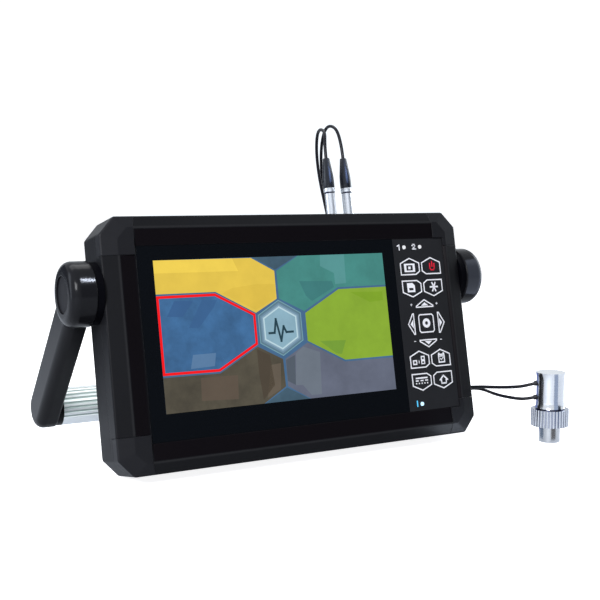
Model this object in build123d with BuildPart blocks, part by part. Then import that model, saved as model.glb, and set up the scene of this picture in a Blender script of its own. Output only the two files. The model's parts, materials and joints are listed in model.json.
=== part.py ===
from build123d import *

import os
from math import atan2, cos, degrees, pi, radians, sin, tan

# A portable ultrasonic flaw detector, standing on its feet with the carrying handle
# swung down behind it. X runs to the right, Y to the back and Z up. The case leans
# back, so its pieces are drawn on planes parallel to its front: there X is to the
# right, Y up the front and Z straight out of it. All sizes are in millimetres.

os.makedirs("parts", exist_ok=True)

# Case
lean = radians(11.52)
case_width = 243.4
case_height = 144.0
corner_across = 8.9
corner_up = 9.85
frame_depth = 9.8
wall_run = 16.66
taper_run = 31.54
rear_narrowing = 27.4
wall = 3.0
upright_round = 2.6
front_round = 1.2
rear_round = 3.0

# Raised ridge of the front and the sunk strips inside it
ridge_side_margin = 9.6
ridge_top_margin = 6.6
ridge_rise = 2.0
ridge_land = 0.8
ridge_round = 2.0
ridge_cut = 5.8
strip_low = 0.9
strip_cut = 1.2
strip_round = 0.3
front_wall = 4.0

# Window, keypad label and display
glass_level = 0.74
window_side_margin = 10.7
label_side_margin = 2.5
window_top_margin = 10.6
glass_thickness = 1.8
label_thickness = 0.8
label_width = 38.65
pocket_gap = 0.15
display_side_cover = 2.95
display_top_cover = 4.8
display_depth = 5.6
display_shift = 0.25
display_up = 1.35
display_gap = 0.25

# Corner covers and the screws below them
cover_seam_inset = 19.4
cover_seam_slant = 1.6
cover_seam_drop = 22.0
cover_depth = 7.0
cover_wall = 2.0
cover_drop = 1.6
cover_gap = 0.15
cover_past = 4.0
screw_side_inset = 11.1
screw_top_inset = 11.95
screw_radius = 1.5
screw_head_radius = 2.75
screw_head_height = 2.6
screw_reach = 13.0
screw_gap = 0.2
post_corner_across = 20.0
post_corner_up = 21.0

# Keypad
pad_shift = 0.25
key_gap = 0.2
key_rise = 0.4
key_flange = 0.5
key_flange_thickness = 0.8
key_stem_radius = 1.5
key_travel = 0.8
dome_gap = 0.2
house_width = 15.1
house_height = 11.2
house_shoulder = 7.9
house_cut_across = 3.2
house_cut_up = 2.1
house_inner = 0.7
house_outer_row = 31.4
house_inner_row = 28.15
arrow_half = 6.9
arrow_height = 5.4
arrow_edge = 1.35
arrow_up = 10.2
arrow_across = 9.05
enter_size = 12.1
enter_round = 1.5
lamp_radius = 1.2
lamp_gap = 0.2
lamp_rise = 0.12
lamp_top_share = 0.566
lamp_low_share = 0.664
lamp_across = (-10.85, 1.45, -9.55)

# Boards, battery and gasket inside
key_board_drop = 7.0
key_board_width = 37.0
key_board_margin = 1.8
key_board_narrow = 28.0
board_thickness = 1.6
dome_radius = 2.5
dome_height = 0.6
key_post_across = 16.0
key_post_share = 0.36
key_post_radius = 2.0
main_board_drop = 15.0
main_board_side_margin = 29.1
main_board_top_margin = 11.45
main_post_side_inset = 6.0
main_post_top_inset = 3.5
main_post_radius = 3.0
board_screw_radius = 1.0
board_screw_head = 1.9
board_screw_head_height = 1.2
board_screw_length = 5.6
battery_width = 150.0
battery_height = 66.0
battery_up = -18.0
battery_room = 28.0
battery_gap = 0.3
battery_wall = 2.0
hatch_rim = 6.0
hatch_flange = 3.0
hatch_flange_depth = 9.0
hatch_screw_radius = 1.0
hatch_screw_head = 2.1
hatch_screw_head_height = 1.6
hatch_screw_length = 6.0
hatch_screw_inset = 8.0
hatch_thickness = 3.0
hatch_gap = 0.2
gasket_inset = 1.0
gasket_width = 1.0
gasket_depth = 1.0

# Feet
foot_radius = 5.0
foot_proud = 1.5
foot_sunk = 1.0
foot_side_inset = 31.7
foot_inset = 7.0
foot_gap = 0.1
foot_chamfer = 0.4

# Handle
hub_up = 31.0
hub_behind = 14.9
hub_radius = 18.46
hub_width = 14.6
hub_round = 5.5
hub_inner_round = 0.8
disc_radius = 17.6
disc_thickness = 4.0
side_play = 0.2
arm_drop = radians(47.5)
grip_reach = 103.5
arm_depth = 24.0
arm_thickness = 12.6
arm_outer_round = 5.5
arm_inner_round = 1.6
collar_length = 3.0
grip_radius = 11.5
grip_wall = 2.4
grip_gap = 0.1
spigot_length = 16.0
flute_radius = 0.8
flute_depth = 0.5
flute_pitch = 14.0
flute_count = 17
pivot_radius = 4.0
pivot_gap = 0.12
pivot_head_radius = 6.5
pivot_head_height = 3.2
pivot_thread_radius = 3.0
pivot_thread = 9.0
head_gap = 0.3
recess_radius = 10.6
recess_depth = 2.5
cap_gap = 0.15
cap_thickness = 1.6
pivot_boss_half = 8.0
pivot_boss_thickness = 8.0

# Probe sockets, plugs and leads
socket_behind = 20.0
socket_places = (40.9, 53.7)
socket_flange_radius = 4.3
socket_flange = 1.2
socket_radius = 3.5
socket_length = 10.0
socket_bore = 2.3
socket_bore_depth = 9.0
socket_gap = 0.15
nut_radius = 5.2
nut_height = 2.2
plug_radius = 3.2
plug_length = 18.65
plug_nose_length = 7.5
plug_gap = 0.1
plug_groove_up = 2.8
plug_groove_width = 0.4
plug_groove_depth = 0.3
boot_radius = 3.05
boot_tip_radius = 1.75
boot_length = 19.7
lead_radius = 1.05
lead_total = 1200.0
coil_mean_radius = 11.5
coil_width = 6.3
coil_height = 7.6
coil_round = 2.4
coil_back = 61.5
coil_places = (58.0, 94.0)
coil_bite = 1.0
bend_share = 0.45

# Transducer
probe_across = 162.8
probe_back = -38.0
tip_radius = 6.7
tip_height = 10.6
ring_radius = 12.1
ring_height = 11.0
rib_count = 36
rib_radius = 0.55
body_radius = 9.5
body_waist = 8.8
body_height = 23.8
body_foot_flare = 8.0
body_top_flare = 5.5
body_groove_radius = 8.4
body_groove = 0.6
gland_radius = 1.6
gland_length = 4.0


# Places worked out from those sizes
side_depth = frame_depth + wall_run
rear_width = case_width - rear_narrowing
ridge_width = case_width - 2 * ridge_side_margin
ridge_height = case_height - 2 * ridge_top_margin
window_left = window_side_margin - ridge_width / 2
label_right = ridge_width / 2 - label_side_margin
window_right = label_right - label_width - pocket_gap
window_height = ridge_height - 2 * window_top_margin
pocket_height = window_height + 2 * pocket_gap
display_width = window_right - window_left - 2 * display_side_cover
display_height = window_height - 2 * display_top_cover
display_across = (window_left + window_right) / 2 + display_shift
cover_seam = case_width / 2 - cover_seam_inset
cover_seam_edge = cover_seam - cover_seam_slant
cover_seam_side = case_height / 2 - cover_seam_drop
screw_across = case_width / 2 - screw_side_inset
screw_up = case_height / 2 - screw_top_inset
pad_across = (window_right + label_right) / 2 + pad_shift
keys_top = house_outer_row + house_height
label_end = window_height / 2 - keys_top
lamp_up = keys_top + label_end * lamp_top_share
lamp_down = -keys_top - label_end * lamp_low_share
lamp_places = {
    "led_1": (pad_across + lamp_across[0], lamp_up),
    "led_2": (pad_across + lamp_across[1], lamp_up),
    "power_led": (pad_across + lamp_across[2], lamp_down),
}
key_board_height = window_height - 2 * key_board_margin
key_post_up = keys_top + label_end * key_post_share
main_board_width = case_width - 2 * main_board_side_margin
main_board_height = case_height - 2 * main_board_top_margin
main_post_across = main_board_width / 2 - main_post_side_inset
main_post_up = main_board_height / 2 - main_post_top_inset
foot_across = case_width / 2 - foot_side_inset
case_depth = side_depth + taper_run
rear_height = case_height - 2 * taper_run * tan(lean)
stand_height = case_height / 2 * cos(lean) + side_depth * sin(lean) + foot_proud
front_most = ridge_height / 2 * sin(lean) + ridge_rise * cos(lean)
hub_back = hub_up * sin(lean) + hub_behind * cos(lean)
arm_back = hub_back + grip_reach * cos(arm_drop) + arm_depth / 2
middle_back = (arm_back - front_most) / 2
front = Plane(origin=(0, -middle_back, stand_height), x_dir=(1, 0, 0), z_dir=(0, -cos(lean), sin(lean)))
hub_inner = case_width / 2 + disc_thickness + side_play
hub_outer = hub_inner + hub_width
hub_height = stand_height + hub_up * cos(lean) - hub_behind * sin(lean)
probe_ring_top = tip_height + ring_height
socket_top = case_height / 2 + socket_flange
plug_top = socket_top + plug_length
boot_top = plug_top + boot_length
label_back = glass_level - label_thickness
glass_back = glass_level - glass_thickness
screw_top = -cover_drop - cover_gap
key_stem_end = key_board_drop - dome_height - dome_gap - key_travel
hatch_edge = hatch_rim + hatch_flange
hatch_margin = hatch_rim - hatch_gap
hatch_screws = [
    (side * (battery_width + hatch_rim) / 2, battery_up + top * (battery_height / 2 - hatch_screw_inset))
    for side in (-1, 1)
    for top in (-1, 1)
]
pivot_head = hub_outer - recess_depth - side_play - pivot_head_height
foot_front = side_depth * cos(lean) - case_height / 2 * sin(lean) - middle_back + foot_inset
foot_back = case_depth * cos(lean) - rear_height / 2 * sin(lean) - middle_back - foot_inset
foot_places = [(side * foot_across, y) for side in (-1, 1) for y in (foot_front, foot_back)]


def level(height):
    """A plane parallel to the front, that far out of it."""
    return front.offset(height)


def side_plane(across):
    """A plane across the hub axis, with its X along the arm."""
    along = (0, cos(arm_drop), -sin(arm_drop))
    return Plane(origin=(across, hub_back - middle_back, hub_height), x_dir=along, z_dir=(1, 0, 0))


def grip_plane(across):
    """A plane across the grip's axis, turned like the arms."""
    plane = side_plane(across)
    return Plane(origin=plane.from_local_coords((grip_reach, 0, 0)), x_dir=plane.x_dir, z_dir=plane.z_dir)


def top_plane(across, up):
    """A plane across a probe socket's axis, that far up the front."""
    origin = front.from_local_coords((across, up, -socket_behind))
    return Plane(origin=origin, x_dir=(1, 0, 0), z_dir=front.y_dir)


def at(across, back, height):
    """A point by its place across, behind the front's middle and above the floor."""
    return Vector(across, back - middle_back, height)


def above(across, up, out):
    """A point by its place on the front."""
    return front.from_local_coords((across, up, out))


def cut_corner_outline(left, right, height, across, up, corner_round, inset=0):
    """Draws a rectangle with its four corners cut off and slightly rounded."""
    half_height = height / 2
    made = Polygon(
        (left, up - half_height),
        (left, half_height - up),
        (left + across, half_height),
        (right - across, half_height),
        (right, half_height - up),
        (right, up - half_height),
        (right - across, -half_height),
        (left + across, -half_height),
    )
    if inset:
        made = offset(amount=-inset, kind=Kind.INTERSECTION, mode=Mode.REPLACE)
    fillet(made.vertices(), corner_round)


def case_outline(inset=0):
    half = case_width / 2
    cut_corner_outline(-half, half, case_height, corner_across, corner_up, upright_round, inset)


def rear_outline(inset=0):
    half = rear_width / 2
    cut_corner_outline(-half, half, rear_height, corner_across, corner_up, upright_round, inset)


def ridge_outline(inset=0):
    half = ridge_width / 2
    up = ridge_cut * corner_up / corner_across
    cut_corner_outline(-half, half, ridge_height, ridge_cut, up, ridge_round, inset)


def strip_outline():
    """Draws the sunk end of the strips, just around the window and the label."""
    up = strip_cut * corner_up / corner_across
    left = window_left - pocket_gap
    right = label_right + pocket_gap
    cut_corner_outline(left, right, pocket_height, strip_cut, up, strip_round)


def inner_cross(inset):
    """Draws the room inside the walls, which leaves the four corners solid."""
    Rectangle(case_width - 2 * inset, case_height - 2 * post_corner_up)
    Rectangle(case_width - 2 * post_corner_across, case_height - 2 * inset)


def cover_region(side, top, grown=0):
    """Draws the outline of one corner cover on the front."""
    inner = label_right + 2 * pocket_gap if side > 0 else cover_seam
    seam_up = window_height / 2 + 2 * pocket_gap
    points = [
        (cover_seam_edge, case_height / 2),
        (cover_seam_edge, case_height / 2 + cover_past),
        (case_width / 2 + cover_past, case_height / 2 + cover_past),
        (case_width / 2 + cover_past, cover_seam_side),
        (inner, cover_seam_side),
    ]
    if side > 0:
        points += [(inner, seam_up), (cover_seam, seam_up)]
    points += [(cover_seam, ridge_height / 2)]
    Polygon(*[(side * x, top * y) for x, y in points])
    if grown:
        offset(amount=grown, kind=Kind.INTERSECTION, mode=Mode.REPLACE)


def house_points(flat_up, tip, side):
    """Corners of a house-shaped key: its flat edge, which way its tip points and its side."""
    outer = side * (house_inner + house_width)
    inner = side * house_inner
    return [
        (pad_across + outer, flat_up),
        (pad_across + outer, flat_up + tip * house_shoulder),
        (pad_across + (outer + inner) / 2, flat_up + tip * house_height),
        (pad_across + inner, flat_up + tip * house_shoulder),
        (pad_across + inner, flat_up + tip * house_cut_up),
        (pad_across + inner + side * house_cut_across, flat_up),
    ]


def arrow_points(turn):
    """Corners of an arrow key that points up, turned about the keypad's middle."""
    reach = arrow_across if turn % 180 else arrow_up
    points = [
        (-arrow_half, reach),
        (-arrow_half, reach + arrow_edge),
        (0, reach + arrow_height),
        (arrow_half, reach + arrow_edge),
        (arrow_half, reach),
    ]
    spin = radians(turn)
    return [
        (pad_across + x * cos(spin) - y * sin(spin), x * sin(spin) + y * cos(spin))
        for x, y in points
    ]


key_outlines = {
    "key_range": house_points(house_outer_row, 1, -1),
    "key_power": house_points(house_outer_row, 1, 1),
    "key_save": house_points(house_inner_row, -1, -1),
    "key_freeze": house_points(house_inner_row, -1, 1),
    "key_up": arrow_points(0),
    "key_left": arrow_points(90),
    "key_down": arrow_points(180),
    "key_right": arrow_points(270),
    "key_gate": house_points(-house_inner_row, 1, -1),
    "key_results": house_points(-house_inner_row, 1, 1),
    "key_list": house_points(-house_outer_row, -1, -1),
    "key_home": house_points(-house_outer_row, -1, 1),
}
key_names = [*key_outlines, "key_enter"]


def key_outline(name, grown=0):
    """Draws one key's outline on the front, larger by the amount given."""
    if name == "key_enter":
        with Locations((pad_across, 0)):
            RectangleRounded(enter_size + 2 * grown, enter_size + 2 * grown, enter_round + grown)
    else:
        Polygon(*key_outlines[name])
        if grown:
            offset(amount=grown, kind=Kind.INTERSECTION, mode=Mode.REPLACE)


def key_middle(name):
    """The point below which a key's stem stands."""
    if name == "key_enter":
        return (pad_across, 0)
    points = key_outlines[name]
    across = [x for x, _ in points]
    up = [y for _, y in points]
    if name in ("key_left", "key_right", "key_up", "key_down"):
        return (sum(across) / len(across), sum(up) / len(up))
    return ((min(across) + max(across)) / 2, (min(up) + max(up)) / 2)


def depth_of(point):
    """How far out of the front a point lies."""
    return front.to_local_coords(point).Z


def edges_at(made, height):
    """Edges of a piece that lie in one plane parallel to the front."""
    return made.edges().filter_by(
        lambda edge: abs(depth_of(edge @ 0) - height) < 0.01 and abs(depth_of(edge @ 0.5) - height) < 0.01
    )


def rectangle_between(left, right, height):
    """Draws a rectangle between two places across the front, centred up it."""
    with Locations(((left + right) / 2, 0)):
        Rectangle(right - left, height)


def export(name, made):
    made.part.label = name
    export_step(made.part, f"parts/{name}.step")


corners = [(side, top) for side in (-1, 1) for top in (-1, 1)]
corner_names = {(-1, -1): "lower_left", (-1, 1): "upper_left", (1, -1): "lower_right", (1, 1): "upper_right"}

# Outer form of the front frame, before its corners are taken out for the covers
with BuildPart() as bezel_form:
    with BuildSketch(level(-frame_depth)):
        case_outline()
    extrude(amount=frame_depth)
    with BuildSketch(level(0)):
        case_outline()
    with BuildSketch(level(ridge_rise)):
        ridge_outline()
    loft(ruled=True)
    fillet(edges_at(bezel_form, 0), front_round)

# Room for the four corner covers, with the lug that each one sits over left standing
with BuildPart() as cover_slots:
    for side, top in corners:
        with BuildSketch(level(-cover_depth)):
            cover_region(side, top, cover_gap)
        extrude(amount=cover_depth + 2 * ridge_rise)
    with BuildSketch(level(-cover_depth)):
        case_outline(cover_wall + cover_gap)
    extrude(amount=cover_depth - cover_drop - cover_gap, mode=Mode.SUBTRACT)

# Front frame: bevelled ring with sunk strips, window pocket, key openings and posts
with BuildPart() as front_frame:
    add(bezel_form.part)
    with BuildSketch(level(ridge_rise)):
        ridge_outline(ridge_land)
    with BuildSketch(level(strip_low)):
        strip_outline()
    loft(ruled=True, mode=Mode.SUBTRACT)
    with BuildSketch(level(label_back)):
        rectangle_between(window_left - pocket_gap, label_right + pocket_gap, pocket_height)
    extrude(amount=ridge_rise - label_back, mode=Mode.SUBTRACT)
    with BuildSketch(level(glass_back)):
        rectangle_between(window_left - pocket_gap, window_right + pocket_gap, pocket_height)
    extrude(amount=ridge_rise - glass_back, mode=Mode.SUBTRACT)
    with BuildSketch(level(-frame_depth)):
        inner_cross(wall)
    extrude(amount=frame_depth - front_wall, mode=Mode.SUBTRACT)
    with BuildSketch(level(-frame_depth)):
        with Locations((display_across, display_up)):
            Rectangle(display_width + 2 * display_gap, display_height + 2 * display_gap)
    extrude(amount=frame_depth, mode=Mode.SUBTRACT)
    add(cover_slots.part, mode=Mode.SUBTRACT)
    with BuildSketch(level(-front_wall)):
        with GridLocations(2 * main_post_across, 2 * main_post_up, 2, 2):
            Circle(main_post_radius)
    extrude(amount=front_wall - main_board_drop)
    with BuildSketch(level(-main_board_drop)):
        with GridLocations(2 * main_post_across, 2 * main_post_up, 2, 2):
            Circle(board_screw_radius + screw_gap)
    extrude(amount=board_screw_length, mode=Mode.SUBTRACT)
    with BuildSketch(level(-front_wall)):
        with Locations((pad_across, 0)):
            with GridLocations(2 * key_post_across, 2 * key_post_up, 2, 2):
                Circle(key_post_radius)
    extrude(amount=front_wall - key_board_drop)
    with BuildSketch(level(-key_board_drop)):
        with Locations((pad_across, 0)):
            with GridLocations(2 * key_post_across, 2 * key_post_up, 2, 2):
                Circle(board_screw_radius + screw_gap)
    extrude(amount=board_screw_length, mode=Mode.SUBTRACT)
    for name in key_names:
        with BuildSketch(level(-front_wall)):
            key_outline(name, key_gap)
        extrude(amount=2 * front_wall, mode=Mode.SUBTRACT)
    with BuildSketch(level(-front_wall)):
        with Locations(*lamp_places.values()):
            Circle(lamp_radius + lamp_gap)
    extrude(amount=2 * front_wall, mode=Mode.SUBTRACT)
    with BuildSketch(level(-frame_depth)):
        with GridLocations(2 * screw_across, 2 * screw_up, 2, 2):
            Circle(screw_radius + screw_gap)
    extrude(amount=2 * frame_depth, mode=Mode.SUBTRACT)
    with BuildSketch(level(screw_top - screw_head_height)):
        with GridLocations(2 * screw_across, 2 * screw_up, 2, 2):
            Circle(screw_head_radius + screw_gap)
    extrude(amount=frame_depth, mode=Mode.SUBTRACT)
export("front_frame", front_frame)

for side, top in corners:
    with BuildPart() as corner_cover:
        add(bezel_form.part)
        with BuildSketch(level(cover_gap - cover_depth)):
            cover_region(side, top)
        extrude(amount=cover_depth + 2 * ridge_rise, mode=Mode.INTERSECT)
        with BuildSketch(level(-cover_depth)):
            case_outline(cover_wall)
        extrude(amount=cover_depth - cover_drop, mode=Mode.SUBTRACT)
    export(f"corner_cover_{corner_names[side, top]}", corner_cover)

with BuildPart() as case_screws:
    with BuildSketch(level(screw_top - screw_head_height)):
        with GridLocations(2 * screw_across, 2 * screw_up, 2, 2):
            Circle(screw_head_radius)
    extrude(amount=screw_head_height)
    with BuildSketch(level(screw_top - screw_head_height)):
        with GridLocations(2 * screw_across, 2 * screw_up, 2, 2):
            Circle(screw_radius)
    extrude(amount=-screw_reach)
export("case_screws", case_screws)

# Rear housing: straight walls, then tapered ones that end in the rear face
with BuildPart() as rear_housing:
    with BuildSketch(level(-frame_depth)):
        case_outline()
    extrude(amount=-wall_run)
    with BuildSketch(level(-side_depth)):
        case_outline()
    with BuildSketch(level(-case_depth)):
        rear_outline()
    loft(ruled=True)
    fillet(edges_at(rear_housing, -case_depth), rear_round)
    with BuildSketch(level(-frame_depth)):
        inner_cross(wall)
    extrude(amount=-wall_run, mode=Mode.SUBTRACT)
    with BuildSketch(level(-side_depth)):
        case_outline(wall)
    with BuildSketch(level(wall - case_depth)):
        rear_outline(wall)
    loft(ruled=True, mode=Mode.SUBTRACT)
    with BuildSketch(level(-case_depth)):
        with Locations((0, battery_up)):
            Rectangle(battery_width + 2 * battery_wall, battery_height + 2 * battery_wall)
    extrude(amount=battery_room + battery_wall)
    with BuildSketch(level(-case_depth)):
        with Locations((0, battery_up)):
            Rectangle(battery_width + 2 * hatch_edge, battery_height + 2 * hatch_edge)
    extrude(amount=hatch_flange_depth)
    with BuildSketch(level(-case_depth)):
        with Locations((0, battery_up)):
            Rectangle(battery_width, battery_height)
    extrude(amount=battery_room, mode=Mode.SUBTRACT)
    with BuildSketch(level(-case_depth)):
        with Locations((0, battery_up)):
            Rectangle(battery_width + 2 * hatch_rim, battery_height + 2 * hatch_rim)
    extrude(amount=hatch_thickness, mode=Mode.SUBTRACT)
    with BuildSketch(level(hatch_screw_head_height - case_depth)):
        with Locations(*hatch_screws):
            Circle(hatch_screw_radius + screw_gap)
    extrude(amount=hatch_screw_length, mode=Mode.SUBTRACT)
    with BuildSketch(level(-frame_depth)):
        for side in (-1, 1):
            with Locations((side * (case_width - 2 * wall - pivot_boss_thickness) / 2, hub_up)):
                Rectangle(pivot_boss_thickness, 2 * pivot_boss_half)
    extrude(amount=frame_depth - hub_behind - pivot_boss_half)
    for side in (-1, 1):
        with BuildSketch(side_plane(side * case_width / 2)):
            Circle(pivot_thread_radius + pivot_gap)
        extrude(amount=-side * (pivot_thread + screw_gap), mode=Mode.SUBTRACT)
    with BuildSketch(level(-frame_depth)):
        case_outline(gasket_inset)
        offset(amount=-gasket_width, kind=Kind.INTERSECTION, mode=Mode.SUBTRACT)
    extrude(amount=-gasket_depth, mode=Mode.SUBTRACT)
    with BuildSketch(level(-frame_depth)):
        with GridLocations(2 * screw_across, 2 * screw_up, 2, 2):
            Circle(screw_radius + screw_gap)
    extrude(amount=-wall_run, mode=Mode.SUBTRACT)
    for across in socket_places:
        with BuildSketch(top_plane(across, case_height / 2)):
            Circle(socket_radius + socket_gap)
        extrude(amount=-2 * wall, mode=Mode.SUBTRACT)
    with BuildSketch(Plane.XY.offset(foot_proud)):
        with Locations(*foot_places):
            Circle(foot_radius + foot_gap)
    extrude(amount=foot_sunk, mode=Mode.SUBTRACT)
export("rear_housing", rear_housing)

with BuildPart() as front_gasket:
    with BuildSketch(level(-frame_depth)):
        case_outline(gasket_inset)
        offset(amount=-gasket_width, kind=Kind.INTERSECTION, mode=Mode.SUBTRACT)
    extrude(amount=-gasket_depth)
export("front_gasket", front_gasket)

with BuildPart() as rubber_feet:
    with BuildSketch(Plane.XY):
        with Locations(*foot_places):
            Circle(foot_radius)
    extrude(amount=foot_proud + foot_sunk)
    chamfer(rubber_feet.faces().filter_by(lambda face: abs(face.center().Z) < 0.01).edges(), foot_chamfer)
export("rubber_feet", rubber_feet)

# Window and display
with BuildPart() as display_window:
    with BuildSketch(level(glass_back)):
        rectangle_between(window_left, window_right, window_height)
    extrude(amount=glass_thickness)
export("display_window", display_window)

with BuildPart() as lcd_panel:
    with BuildSketch(level(glass_back - display_gap)):
        with Locations((display_across, display_up)):
            Rectangle(display_width, display_height)
    extrude(amount=-display_depth)
export("lcd_panel", lcd_panel)

# Keypad: label, keys, lamps and the board behind them
with BuildPart() as keypad_label:
    with BuildSketch(level(label_back)):
        rectangle_between(window_right + pocket_gap, label_right, window_height)
    extrude(amount=label_thickness)
    for name in key_names:
        with BuildSketch(level(label_back)):
            key_outline(name, key_gap)
        extrude(amount=label_thickness, mode=Mode.SUBTRACT)
    with BuildSketch(level(label_back)):
        with Locations(*lamp_places.values()):
            Circle(lamp_radius + lamp_gap)
    extrude(amount=label_thickness, mode=Mode.SUBTRACT)
export("keypad_label", keypad_label)

for name in key_names:
    with BuildPart() as key:
        with BuildSketch(level(glass_level + key_rise)):
            key_outline(name)
        extrude(amount=-(glass_level + key_rise + front_wall + key_gap + key_flange_thickness))
        with BuildSketch(level(-front_wall - key_gap)):
            key_outline(name, key_flange)
        extrude(amount=-key_flange_thickness)
        with BuildSketch(level(-front_wall - key_gap)):
            with Locations(key_middle(name)):
                Circle(key_stem_radius)
        extrude(amount=front_wall + key_gap - key_stem_end)
    export(name, key)

for name, place in lamp_places.items():
    with BuildPart() as lamp:
        with BuildSketch(level(glass_level + lamp_rise)):
            with Locations(place):
                Circle(lamp_radius)
        extrude(amount=-(glass_level + lamp_rise + key_board_drop))
    export(name, lamp)

with BuildPart() as keypad_board:
    with BuildSketch(level(-key_board_drop)):
        with Locations((pad_across, 0)):
            Rectangle(key_board_width, 2 * (key_post_up + key_post_radius))
        with Locations((pad_across - (key_board_width - key_board_narrow) / 2, 0)):
            Rectangle(key_board_narrow, key_board_height)
        with Locations((pad_across, 0)):
            with GridLocations(2 * key_post_across, 2 * key_post_up, 2, 2):
                Circle(board_screw_radius + screw_gap, mode=Mode.SUBTRACT)
    extrude(amount=-board_thickness)
    with BuildSketch(level(-key_board_drop)):
        with Locations(*[key_middle(name) for name in key_names]):
            Circle(dome_radius)
    extrude(amount=dome_height)
export("keypad_board", keypad_board)

with BuildPart() as main_board:
    with BuildSketch(level(-main_board_drop)):
        Rectangle(main_board_width, main_board_height)
        with GridLocations(2 * main_post_across, 2 * main_post_up, 2, 2):
            Circle(board_screw_radius + screw_gap, mode=Mode.SUBTRACT)
    extrude(amount=-board_thickness)
export("main_board", main_board)

with BuildPart() as board_screws:
    for middle, across, up, drop in (
        (0, main_post_across, main_post_up, main_board_drop),
        (pad_across, key_post_across, key_post_up, key_board_drop),
    ):
        with BuildSketch(level(-drop - board_thickness)):
            with Locations((middle, 0)):
                with GridLocations(2 * across, 2 * up, 2, 2):
                    Circle(board_screw_head)
        extrude(amount=-board_screw_head_height)
        with BuildSketch(level(-drop - board_thickness)):
            with Locations((middle, 0)):
                with GridLocations(2 * across, 2 * up, 2, 2):
                    Circle(board_screw_radius)
        extrude(amount=board_screw_length)
export("board_screws", board_screws)

# Battery behind its hatch in the rear face
with BuildPart() as battery_pack:
    with BuildSketch(level(battery_room - case_depth - battery_gap)):
        with Locations((0, battery_up)):
            Rectangle(battery_width - 2 * battery_gap, battery_height - 2 * battery_gap)
    extrude(amount=hatch_thickness + 2 * battery_gap - battery_room)
export("battery_pack", battery_pack)

with BuildPart() as battery_hatch:
    with BuildSketch(level(-case_depth)):
        with Locations((0, battery_up)):
            Rectangle(battery_width + 2 * hatch_margin, battery_height + 2 * hatch_margin)
    extrude(amount=hatch_thickness)
    with BuildSketch(level(-case_depth)):
        with Locations(*hatch_screws):
            Circle(hatch_screw_radius + screw_gap)
    extrude(amount=hatch_thickness, mode=Mode.SUBTRACT)
    with BuildSketch(level(-case_depth)):
        with Locations(*hatch_screws):
            Circle(hatch_screw_head + screw_gap)
    extrude(amount=hatch_screw_head_height, mode=Mode.SUBTRACT)
export("battery_hatch", battery_hatch)

with BuildPart() as hatch_screw_group:
    with BuildSketch(level(-case_depth)):
        with Locations(*hatch_screws):
            Circle(hatch_screw_head)
    extrude(amount=hatch_screw_head_height)
    with BuildSketch(level(hatch_screw_head_height - case_depth)):
        with Locations(*hatch_screws):
            Circle(hatch_screw_radius)
    extrude(amount=hatch_screw_length)
export("battery_hatch_screws", hatch_screw_group)

# Probe sockets in the top wall, with their plugs
for number, across in enumerate(socket_places, 1):
    with BuildPart() as socket:
        with BuildSketch(top_plane(across, socket_top)):
            Circle(socket_flange_radius)
        extrude(amount=-socket_flange)
        with BuildSketch(top_plane(across, socket_top)):
            Circle(socket_radius)
        extrude(amount=-socket_length)
        with BuildSketch(top_plane(across, socket_top)):
            Circle(socket_bore)
        extrude(amount=-socket_bore_depth, mode=Mode.SUBTRACT)
    export(f"probe_socket_{number}", socket)

    with BuildPart() as plug:
        with BuildSketch(top_plane(across, socket_top)):
            Circle(plug_radius)
        extrude(amount=plug_length)
        with BuildSketch(top_plane(across, socket_top)):
            Circle(socket_bore - plug_gap)
        extrude(amount=-plug_nose_length)
        with BuildSketch(top_plane(across, plug_top - plug_groove_up)):
            Circle(plug_radius)
            Circle(plug_radius - plug_groove_depth, mode=Mode.SUBTRACT)
        extrude(amount=-plug_groove_width, mode=Mode.SUBTRACT)
    export(f"plug_{number}", plug)

    with BuildPart() as boot:
        with BuildSketch(top_plane(across, plug_top)):
            Circle(boot_radius)
        extrude(amount=boot_length, taper=degrees(atan2(boot_radius - boot_tip_radius, boot_length)))
    export(f"plug_boot_{number}", boot)

with BuildPart() as socket_nuts:
    for across in socket_places:
        with BuildSketch(top_plane(across, case_height / 2 - wall)):
            RegularPolygon(nut_radius, 6)
            Circle(socket_radius + socket_gap, mode=Mode.SUBTRACT)
        extrude(amount=-nut_height)
export("socket_nuts", socket_nuts)

# Carrying handle: friction discs, pivot screws, two moulded arms and the fluted grip
for side, name in ((-1, "left"), (1, "right")):
    with BuildPart() as pivot_disc:
        with BuildSketch(side_plane(side * case_width / 2)):
            Circle(disc_radius)
            Circle(pivot_radius + pivot_gap, mode=Mode.SUBTRACT)
        extrude(amount=side * disc_thickness)
    export(f"pivot_disc_{name}", pivot_disc)

with BuildPart() as pivot_screws:
    for side in (-1, 1):
        with BuildSketch(side_plane(side * case_width / 2)):
            Circle(pivot_thread_radius)
        extrude(amount=-side * pivot_thread)
        with BuildSketch(side_plane(side * case_width / 2)):
            Circle(pivot_radius)
        extrude(amount=side * (pivot_head - case_width / 2))
        with BuildSketch(side_plane(side * pivot_head)):
            Circle(pivot_head_radius)
        extrude(amount=side * pivot_head_height)
export("pivot_screws", pivot_screws)

with BuildPart() as hub_form:
    with BuildSketch(side_plane(hub_inner)):
        Circle(hub_radius)
    extrude(amount=hub_width)
    fillet(hub_form.faces().sort_by(Axis.X)[-1].edges(), hub_round)
    fillet(hub_form.faces().sort_by(Axis.X)[0].edges(), hub_inner_round)

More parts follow.
